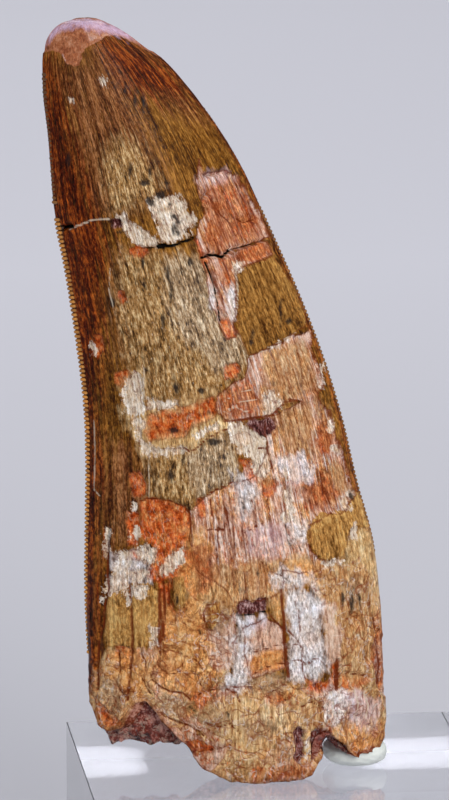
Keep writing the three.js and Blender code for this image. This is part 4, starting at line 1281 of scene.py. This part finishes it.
def stained(f, base):
    """Rust, crusts, stains and bleached places over the enamel, the dentine and the root."""
    base = f.mix(f.mask("rust") * 0.9, base, rust_stain(f))
    crusts = (("straw", f.fibrous), ("orange", f.crusty), ("buff", f.fibrous), ("mauve", f.fibrous))
    for name, pattern in crusts:
        base = f.mix(f.mask(name) * 0.85, base, f.toned(name, pattern))
    blush = f.mix(f.mottle.stretched(5.0, 0.8) * 0.7, f.toned("blush", f.fibrous), f.toned("rust", f.grainy))
    blush = f.mix(f.grained(1.5, 0.5, 3.0, 8.0, 0.66) * 0.6, blush, f.plain("cream"))
    base = f.mix(f.mask("blush") * 0.85, base, blush)
    base = f.mix(f.mask("umber") * 0.8, base, f.toned("umber", f.crusty))
    return f.mix(f.mask("chalk") * 0.9, base, f.toned("chalk", f.grainy))


def chipped(f, base):
    """Enamel left standing, chips, the worn tip, its painted highlight, violet tints, and deep hollows
    darkened with painted shade.
    """
    plaque = f.mix(0.3, f.toned("gold", f.striped), f.toned("olive", f.striped))
    base = f.mix(f.mask("plaque"), base, plaque)
    base = f.mix(f.mask("island"), base, f.toned("olive", f.striped))
    base = f.mix(f.mask("cream") * 0.92, base, chalk_chips(f))
    base = f.mix(f.mask("flesh"), base, f.toned("flesh", f.crusty))
    # Painted highlight: the violet sheen along the top of the tip.
    base = f.mix(f.mask("bloom") * (0.35 + 0.5 * f.grainy), base, f.plain("bloom"))
    base = f.mix(f.mask("lilac") * (0.1 + 0.35 * f.fibrous), base, f.plain("lilac"))
    # Deep hollows darkened with painted shade.
    return f.mix(f.mask("plum"), base, f.toned("plum", f.grainy))


def tinged(f, base, bare):
    """Warm and cool tinges, strongest where the dentine is bare, and the finest grains' painted shade and
    glints.
    """
    warm = f.grained(0.5, 0.24, 3.0, 5.0) * (0.25 + bare * 0.45)
    cool = f.grained(0.62, 0.29, 3.0, 5.0) * (0.2 + bare * 0.35) * (1.0 - f.mask("rust"))
    base = f.tinted(f.tinted(base, warm, WARM_TINT), cool, COOL_TINT)
    return f.glinting(base, 0.8)


def fine_cracks(f, bare):
    """Seams between the crust's plates, crazing and curls, faint on bare dentine."""
    seams = ((1.0 - f.cracks(f.warped, PLATE_SCALE) / 0.02) * 2.0).clamped() * f.broken * 0.5
    craze = ((1.0 - f.cracks(f.warped, CRAZE_SCALE) / 0.05) * 2.0).clamped() * f.mottle * 0.18
    loops = f.contour(f.noise(f.spot, 300.0, 2.0, 0.5, 0.6), 0.5, 0.028) * f.broken * 0.8
    curls = f.contour(f.noise(f.spot, 760.0, 2.0, 0.5, 0.4), 0.5, 0.05) * f.patch * 0.4
    return (seams + craze + loops + curls).clamped() * (f.mask("ochre") + 0.3 * bare).clamped()


def shaded_chip_edges(f):
    """Broken lines of painted shade along the edges of chips and of enamel left standing."""
    chips = f.rim("pink", 0.2) + f.rim("cream", 0.14) * 0.25 + f.rim("rust", 0.13) * 0.5
    standing = f.rim("plaque", 0.16) * 0.6
    return (chips + standing).clamped() * f.broken * (1.0 - f.mask("ochre") * 0.8)


def lined(f, base, cracked, edges):
    """Cracks, painted shade along the edges of chips, a darker tone towards the broken rim, specks and lines,
    drawn over the finishes.
    """
    bright = f.contour(f.noise(f.spot, 620.0, 2.0, 0.5, 0.4), 0.57, 0.035) * f.mottle
    deep_rust = f.plain("rust", 0.28)
    base = f.mix(bright * f.mask("ochre") * 0.5, base, f.plain("cream_light"))
    base = f.mix(cracked * 0.8, base, f.plain("rust", 0.4))
    # Painted shade along the steps at the edges of chips.
    base = f.mix(edges * 0.85, base, deep_rust)
    base = f.mix(f.mask("above_rim") * 0.6, base, f.toned("stone", f.crusty))
    base = f.mix(f.mask("speck") * 0.88, base, SPECK_BLACK)
    base = f.mix(f.mask("pale") * 0.6, base, f.plain("cream"))
    return f.mix(f.mask("rusty") * (0.5 + f.broken * 0.45), base, deep_rust)


def stony_base(f, base, stone):
    """The broken wall and the stone inside it, with pale crystals."""
    crystals = f.spread(1100.0, 3.0, 9.0).stretched(3.0, 1.05)
    stony = f.mix(crystals * 0.7, f.toned("stone", f.crusty), f.plain("cream"))
    base = f.mix(f.inside("stone_free", 0.65, 0.2) * 0.75, base, f.toned("stone", f.crusty))
    return f.mix(stone, base, stony)


def tooth_finish(colours):
    """Mineralised enamel, spalled dentine, chalky chips, cracks and the stony core."""
    f = FossilFinish("fossil_tooth", colours)
    pink, ochre, flesh, gap = f.mask("pink"), f.mask("ochre"), f.mask("flesh"), f.mask("gap")
    stone = f.inside("stone_free", 0.0, 0.4)
    bare = (pink + ochre + f.mask("chalk") + f.mask("rust")).clamped()
    cracked = fine_cracks(f, bare)
    edges = shaded_chip_edges(f)
    base = f.mix(ochre, enamel(f), crust(f))
    base = f.mix(pink, base, dentine(f))
    base = tinged(f, chipped(f, stained(f, base)), bare)
    base = stony_base(f, lined(f, base, cracked, edges), stone)
    # The open break is painted nearly black: painted shade inside the gap.
    base = f.mix(gap, base, GAP_SHADE)

    rough = (bare * 0.7 + f.mask("cream")).clamped()
    height = f.striped * 0.4 + f.dashed * 0.2 + rough * (f.grainy - 0.5) * 0.8 - cracked - edges * 0.6
    gloss = (flesh * 0.5 + stone * 0.6 + f.grit * 0.06 * (1.0 - bare)).clamped()
    shader = {
        "Base Color": base, "Roughness": 0.34 + rough * 0.2 + gap * 0.4 - flesh * 0.12 - stone * 0.1,
        "Normal": f.bump(height, 0.6, 0.00014), "IOR": 1.5, "Specular IOR Level": 0.06,
        "Coat Weight": gloss, "Coat Roughness": 0.16,
    }
    return f.surface(shader)


class FOSSIL_OT_tooth(bpy.types.Operator):
    """Build the tooth in place of its CAD solid"""

    bl_idname = "fossil.tooth"
    bl_label = "Tooth"

    def execute(self, context):
        settings = context.scene.fossil_tooth
        form = ToothForm(settings)
        s, side, rings, along, stone = tooth_grid(form)
        count, total = len(s), len(rings)
        tip = np.array([[DISTAL_EDGE[0][0], 0.0, DISTAL_EDGE[0][1]]])
        middle = np.array([[0.0, 0.0, float(form.core_height(np.zeros(1), np.zeros(1))[0])]])
        points = np.vstack([tip, rings.reshape(-1, 3), middle])
        faces = ring_faces(total, count, 1, 0, len(points) - 1)
        across = np.concatenate([[0.5], np.tile(s, total), [0.5]])
        sides = np.concatenate([[-1.0], np.tile(side, total), [-1.0]])
        lengths = np.concatenate([[0.0], along.ravel(), [along.max() * BASE_GRAIN]])
        stony = np.concatenate([[-1.0], stone.ravel(), [1.0]])

        tooth = new_object("fossil_tooth", points * MM, faces)
        fields = mark_fields(sides < 0, points)
        sunk = relief(settings, points, fields, stony)
        moved = points - mesh_normals(tooth.data) * sunk[:, None] + TOOTH_ORIGIN
        tooth.data.vertices.foreach_set("co", (moved * MM).astype(np.float32).ravel())
        tooth.data.update()
        for name, field in fields.items():
            add_field(tooth.data, name, field)
        add_field(tooth.data, "stone_free", -stony)
        # Distance from the side edges: the enamel's dark band along them is partly painted shade.
        add_field(tooth.data, "edge", np.minimum(across, 1 - across) * GRAIN_WIDTH)
        add_field(tooth.data, "above_rim", points[:, 2] - rim_height(points[:, 0], sides))
        grain = np.stack([(across - 0.5) * GRAIN_WIDTH, lengths, sides * FACE_GRAIN], -1)
        add_field(tooth.data, "grain", grain)
        tooth_uv(tooth.data, across, lengths, sides)
        tooth.data.materials.append(tooth_finish(context.scene.fossil_colours))
        placed(tooth, "fossil", "tooth")
        return {"FINISHED"}


# Rows of denticles: their stretch of an edge in shares of its length, which way they point, how far down they
# are worn, where they are lost, and how tall, wide and amber they are.
SERRATED = (
    {
        "edge": DISTAL_EDGE, "shares": (0.115, 0.965), "outward": -1.0, "worn": 0.31, "lost": (0.304, 0.322),
        "height": 1.0, "width": 0.85, "amber": 1.0,
    },
    {
        "edge": MESIAL_EDGE, "shares": (0.2, 0.84), "outward": 1.0, "worn": 0.36, "lost": (0.0, 0.0),
        "height": 0.6, "width": 0.45, "amber": 0.35,
    },
)
# Half of a denticle's section as (how far it stands out, half thickness), rooted inside the tooth.
DENTICLE_HALF = ((-0.8, 0.9), (-0.55, 0.86), (-0.25, 0.72), (0.02, 0.5), (0.2, 0.26), (0.27, 0.0))
DENTICLE_ROOT = -0.8
DENTICLE_SLICES = (-1.0, -0.87, -0.5, 0.0, 0.5, 0.87, 1.0)
DENTICLE_PLUMPNESS = 2.0
# The share of its section that the two ends of a denticle keep, and between which heights its crest begins.
DENTICLE_ENDS = 0.55
CREST = (-0.75, -0.2)
# Over which shares of an edge wear ends and denticles fade out, and the step that finds its direction.
WEAR_ENDS, FADING_OUT, STEP = 0.02, 0.12, 0.002
# How much chance, wear and fading change a denticle's size, and how much wear and chance change its amber.
SIZE_BY_CHANCE, SIZE_BY_WEAR, SIZE_BY_FADING = 0.15, 0.45, 0.3
AMBER_BY_WEAR, AMBER_BY_CHANCE = 0.8, 0.3


def denticle(settings, row, here, tangent, size):
    """One plump denticle: its points, in millimetres, and how near each is to the crest."""
    normal = np.array([-tangent[1], tangent[0]]) * row["outward"]
    half = np.array(DENTICLE_HALF) * (row["height"], row["width"])
    section = np.vstack([half * (1, -1), half[-2::-1]])
    root = DENTICLE_ROOT * row["height"]
    points, crest = [], []
    for v in DENTICLE_SLICES:
        plump = (1 - abs(v) ** DENTICLE_PLUMPNESS) ** (1 / DENTICLE_PLUMPNESS)
        full = DENTICLE_ENDS + (1 - DENTICLE_ENDS) * plump * size
        out = root + (section[:, 0] - root) * full
        flat = here + tangent * v * settings.pitch / MM / 2 + normal * out[:, None]
        points.append(np.stack([flat[:, 0], section[:, 1] * full, flat[:, 1]], -1))
        crest.append(plump * smoothstep(out / row["height"], *CREST))
    return np.vstack(points), np.concatenate(crest)


def denticle_faces(first, wide):
    """Faces of one denticle whose slices are rings of points."""
    last = first + (len(DENTICLE_SLICES) - 1) * wide
    faces = [tuple(range(first + wide - 1, first - 1, -1)), tuple(range(last, last + wide))]
    for start in range(first, last, wide):
        for j in range(wide):
            a, b = start + j, start + (j + 1) % wide
            faces.append((a, b, b + wide, a + wide))
    return faces


def denticle_rows(settings):
    """Points, in millimetres, and faces, crest and amber of every denticle of both edges."""
    wide = 2 * len(DENTICLE_HALF) - 1
    points, faces, crest, amber = [], [], [], []
    for row in SERRATED:
        line = smooth_line(row["edge"])
        length = np.linalg.norm(np.diff(line, axis=0), axis=1).sum()
        low, high = row["shares"]
        count = round(length * (high - low) / (settings.pitch / MM))
        shares = low + (high - low) * (np.arange(count) + 0.5) / count
        shares = shares[(shares < row["lost"][0]) | (shares > row["lost"][1])]
        worn = 1 - smoothstep(shares, row["worn"] - WEAR_ENDS, row["worn"])
        fading = smoothstep(shares, high - FADING_OUT, high)
        steps = zip(point_along(line, shares), point_along(line, shares + STEP))
        for k, (here, ahead) in enumerate(steps):
            tangent = (ahead - here) / np.linalg.norm(ahead - here)
            chance = noise.noise(Vector((k * 0.61, row["outward"] * 9, 0)))
            size = 1 + SIZE_BY_CHANCE * chance - SIZE_BY_WEAR * worn[k] - SIZE_BY_FADING * fading[k]
            faces += denticle_faces(len(points) * wide * len(DENTICLE_SLICES), wide)
            made, near_crest = denticle(settings, row, here, tangent, size)
            points.append(made)
            crest.append(near_crest)
            tone = row["amber"] * (1 - AMBER_BY_WEAR * worn[k]) * (1 + AMBER_BY_CHANCE * chance)
            amber.append(np.full(len(made), tone))
    return np.vstack(points), faces, np.concatenate(crest), np.concatenate(amber)


def serration_finish(settings):
    """Amber enamel beads, with a painted highlight on each crest and painted shade in the dark notches."""
    f = Finish("serrations")
    tone = f.noise(f.place(), 900.0, 3.0).stretched(2.5)
    amber = f.tones(linear(settings.amber), tone, 0.55, 1.5)
    # Painted highlight towards each crest, painted shade in the notches.
    lit = f.attribute("crest").stretched(1.6, 0.6) * f.attribute("amber")
    base = f.mix(lit, linear(settings.dark), amber)
    return f.surface({"Base Color": base, "Roughness": 0.3 + tone * 0.15, "IOR": 1.5})


class FOSSIL_OT_serrations(bpy.types.Operator):
    """Build the denticles of both cutting edges"""

    bl_idname = "fossil.serrations"
    bl_label = "Serrations"

    def execute(self, context):
        settings = context.scene.fossil_serrations
        points, faces, crest, amber = denticle_rows(settings)
        row = new_object("serrations", (points + TOOTH_ORIGIN) * MM, faces)
        work = bmesh.new()
        work.from_mesh(row.data)
        bmesh.ops.recalc_face_normals(work, faces=work.faces)
        work.to_mesh(row.data)
        work.free()
        add_field(row.data, "crest", crest)
        add_field(row.data, "amber", amber)
        row.data.materials.append(serration_finish(settings))
        placed(row, "fossil")
        return {"FINISHED"}


# Shares of the fold depth that swell in folds and sink in creases, how square the lump is, and its spread.
PUTTY_FOLDS, PUTTY_CREASES = 0.3, 0.35
PUTTY_SQUARENESS = 0.8
PUTTY_SPREAD = (1.02, 1.02, 1.0)


def putty_finish(settings):
    """Pale matt putty, faintly clouded and gritty."""
    f = Finish("putty")
    place = f.place()
    cloud = f.noise(place, 500.0, 4.0).stretched(2.0)
    grit = f.noise(place, 2600.0, 3.0).stretched(2.0)
    grey = linear(settings.grey)
    shader = {
        "Base Color": f.tones(grey, cloud * 0.7 + grit * 0.3, 0.82, 1.12), "Roughness": 0.55 + grit * 0.15,
        "Normal": f.bump(cloud + grit * 0.3, 0.3, 0.0002), "Subsurface Weight": 0.15,
        "Subsurface Radius": (0.002, 0.002, 0.002),
    }
    return f.surface(shader)


class FOSSIL_OT_putty(bpy.types.Operator):
    """Build the pad of mounting putty under the root"""

    bl_idname = "fossil.putty"
    bl_label = "Putty"

    def execute(self, context):
        settings = context.scene.fossil_putty
        low, high = np.array(PUTTY_LOW), np.array(PUTTY_HIGH)
        high[0] -= settings.tuck
        middle, half = (low + high) / 2, (high - low) / 2
        work = bmesh.new()
        bmesh.ops.create_icosphere(work, subdivisions=6, radius=1.0)
        for vertex in work.verts:
            p = np.array(vertex.co)
            fold = noise.fractal(Vector(p * 1.6), 0.9, 2.0, 4)
            crease = abs(noise.noise(Vector(p * (2.2, 2.2, 3.4)) + Vector((4, 0, 0))))
            swell = 1 + (PUTTY_FOLDS * fold - PUTTY_CREASES * crease) * settings.fold / half[0]
            square = np.sign(p) * np.abs(p) ** PUTTY_SQUARENESS
            at = middle + square * half * PUTTY_SPREAD * swell
            at[2] = max(at[2], low[2])
            vertex.co = at
        pad = worked_object("mounting_putty", work)
        pad.data.shade_smooth()
        pad.data.materials.append(putty_finish(settings))
        placed(pad, "putty", "putty_pad")
        return {"FINISHED"}


def acrylic_finish(settings):
    """Clear polished acrylic with fine rubbed scratches."""
    f = Finish("acrylic")
    place = f.place()
    rub = f.noise(f.scaled(place, (60.0, 1400.0, 900.0)), 1.0, 3.0).stretched(8.0, 0.62)
    haze = f.noise(place, 120.0, 3.0).stretched(2.5)
    shader = {
        "Base Color": linear(settings.tint), "Transmission Weight": 1.0, "IOR": settings.ior,
        "Roughness": 0.01 + rub * 0.05 + haze * 0.02,
    }
    return f.surface(shader)


class FOSSIL_OT_block(bpy.types.Operator):
    """Build the clear display block with its polished edges"""

    bl_idname = "fossil.block"
    bl_label = "Display block"

    def execute(self, context):
        settings = context.scene.fossil_block
        middle, size = (BLOCK_LOW + BLOCK_HIGH) / 2, BLOCK_HIGH - BLOCK_LOW
        work = bmesh.new()
        bmesh.ops.create_cube(work, size=1.0)
        for vertex in work.verts:
            vertex.co = middle + Vector(a * b for a, b in zip(vertex.co, size))
        bmesh.ops.bevel(
            work, geom=work.edges[:], offset=settings.edge, segments=3, profile=0.5, affect="EDGES",
        )
        block = worked_object("acrylic_block", work)
        block.data.materials.append(acrylic_finish(settings))
        block.visible_shadow = False
        placed(block, "acrylic", "display_block")
        return {"FINISHED"}


# The studio: a round floor, a little below the block, whose edge curves up into a low wall. In metres.
FLOOR_RADIUS = 2.6
FLOOR_BELOW = 0.0002
WALL_RADIUS = 0.7
WALL_STEPS = 12
FLOOR_SIDES = 96
# Lights as (place, target, size, name of their power, tint).
TOOTH_MIDDLE = (-0.01, 0, 0.07)
LIGHTS = {
    "overhead": ((0.1, -0.1, 0.8), TOOTH_MIDDLE, (0.7, 0.6), "key_power", (1, 1, 1)),
    "front": ((0.22, -0.9, 0.5), TOOTH_MIDDLE, (0.5, 0.5), "fill_power", (1, 0.99, 0.97)),
    "backdrop": ((0.0, 1.3, 1.3), (0.0, 1.3, 0.0), (1.4, 0.8), "back_power", (1, 1, 1)),
}
AMBIENT_TINT = (0.94, 0.95, 1.0, 1.0)
SENSOR_WIDTH = 36.0
CLIP_NEAR, CLIP_FAR = 0.01, 10.0
# Behind the tooth the paper's painted shade runs from its duller to its brighter tone between these depths,
# in metres.
PAPER_NEAR = 0.1
PAPER_FAR = 0.5
# Lamps for the light that the block gathers: their stretches in x along the inside of its back face, how wide
# they are, how high they lie and how far their light spreads.
GLOWS = {"left_glow": (-0.0255, -0.0195), "right_glow": (0.0145, 0.0265)}
GLOW_WIDTH = 0.0052
GLOW_HEIGHT = 0.0045
GLOW_SPREAD = math.radians(75)


def paper_finish(settings):
    """Grey paper with painted shade: darker near the tooth, brighter towards the back."""
    f = Finish("paper")
    back = f.node("ShaderNodeSeparateXYZ", None, {"Vector": f.place()}, "Y")
    away = ((back - PAPER_NEAR) / (PAPER_FAR - PAPER_NEAR)).clamped()
    paper = linear(settings.paper)
    shader = {"Base Color": f.tones(paper, away, 0.84, 1.12), "Roughness": 0.9, "Specular IOR Level": 0.1}
    return f.surface(shader)


def aim(obj, target):
    """Turns a light or a camera towards a place."""
    obj.rotation_euler = (Vector(target) - obj.location).to_track_quat("-Z", "Y").to_euler()


def area_light(name, place, target, size, power, tint):
    """A rectangular light that doesn't show through the block."""
    data = bpy.data.lights.new(name, "AREA")
    data.shape = "RECTANGLE"
    data.size, data.size_y = size
    data.energy = power
    data.color = tint
    light = linked(name, data)
    light.location = place
    light.visible_transmission = False
    aim(light, target)
    return light


def studio_bowl():
    """Points and faces of the floor and its wall, in metres."""
    rise = np.linspace(0, math.pi / 2, WALL_STEPS)
    reach = FLOOR_RADIUS + WALL_RADIUS * np.sin(rise)
    height = WALL_RADIUS * (1 - np.cos(rise)) - FLOOR_BELOW
    turn = np.linspace(0, 2 * math.pi, FLOOR_SIDES, endpoint=False)
    rings = [
        np.stack([radius * np.cos(turn), radius * np.sin(turn), np.full(FLOOR_SIDES, z)], -1)
        for radius, z in zip(reach, height)
    ]
    points = np.vstack([*rings, (0.0, 0.0, -FLOOR_BELOW)])
    after = np.roll(np.arange(FLOOR_SIDES), -1).tolist()
    faces = []
    for low in range(0, (WALL_STEPS - 1) * FLOOR_SIDES, FLOOR_SIDES):
        high = low + FLOOR_SIDES
        faces += [(low + i, low + k, high + k, high + i) for i, k in enumerate(after)]
    faces += [(len(points) - 1, i, k) for i, k in enumerate(after)]
    return points, faces


def gathered_light(settings):
    """Small lamps inside the block, along its back face, that light the floor under it."""
    y = BLOCK_HIGH.y - GLOW_WIDTH / 2
    for name, (start, end) in GLOWS.items():
        x = (start + end) / 2
        length = end - start
        power = settings.glow_power * length
        glow = area_light(name, (x, y, GLOW_HEIGHT), (x, y, 0), (length, GLOW_WIDTH), power, (1, 1, 1))
        glow.visible_glossy = False
        glow.data.spread = GLOW_SPREAD


def ambient_light(scene, strength):
    """Even light from all round."""
    world = bpy.data.worlds.new("studio")
    world.use_nodes = True
    background = world.node_tree.nodes["Background"]
    background.inputs["Color"].default_value = AMBIENT_TINT
    background.inputs["Strength"].default_value = strength
    scene.world = world


def photo_camera():
    """The camera at the photograph's view."""
    data = bpy.data.cameras.new("camera")
    data.sensor_width = SENSOR_WIDTH
    data.lens = SENSOR_WIDTH * VIEW_DISTANCE / PIXEL / PHOTO_HEIGHT
    data.clip_start, data.clip_end = CLIP_NEAR, CLIP_FAR
    camera = linked("camera", data)
    camera.location = view_axes()[0] * MM
    aim(camera, VIEW_TARGET * MM)
    return camera


class FOSSIL_OT_stage(bpy.types.Operator):
    """Set up the floor, the backdrop, the light and the camera"""

    bl_idname = "fossil.stage"
    bl_label = "Stage"

    def execute(self, context):
        settings = context.scene.fossil_stage
        bowl = new_object("studio_bowl", *studio_bowl())
        bowl.data.materials.append(paper_finish(settings))
        for name, (place, target, size, power, tint) in LIGHTS.items():
            area_light(name, place, target, size, getattr(settings, power), tint)
        gathered_light(settings)
        ambient_light(context.scene, settings.ambient)
        context.scene.view_settings.view_transform = "Standard"
        context.scene.camera = photo_camera()
        return {"FINISHED"}


OPERATORS = (FOSSIL_OT_tooth, FOSSIL_OT_serrations, FOSSIL_OT_putty, FOSSIL_OT_block, FOSSIL_OT_stage)
GROUPS = {
    "fossil_tooth": ToothSettings, "fossil_colours": ToothColours, "fossil_serrations": SerrationSettings,
    "fossil_putty": PuttySettings, "fossil_block": BlockSettings, "fossil_stage": StageSettings,
}


class FOSSIL_PT_panel(bpy.types.Panel):
    """Lists the pieces and their settings"""

    bl_label = "Fossil tooth"
    bl_space_type = "VIEW_3D"
    bl_region_type = "UI"
    bl_category = "Fossil tooth"

    def draw(self, context):
        for operator in OPERATORS:
            self.layout.operator(operator.bl_idname)
        for name, group in GROUPS.items():
            box = self.layout.box()
            box.label(text=group.__doc__)
            for setting in group.__annotations__:
                box.prop(getattr(context.scene, name), setting)


def register():
    for cls in (*GROUPS.values(), *OPERATORS, FOSSIL_PT_panel):
        bpy.utils.register_class(cls)
    for name, group in GROUPS.items():
        setattr(bpy.types.Scene, name, PointerProperty(type=group))


def unregister():
    for name in GROUPS:
        delattr(bpy.types.Scene, name)
    for cls in (FOSSIL_PT_panel, *reversed(OPERATORS), *reversed(GROUPS.values())):
        bpy.utils.unregister_class(cls)


def main():
    register()
    bpy.ops.fossil.stage()
    bpy.ops.fossil.tooth()
    bpy.ops.fossil.serrations()
    bpy.ops.fossil.putty()
    bpy.ops.fossil.block()


if __name__ == "__main__":
    main()
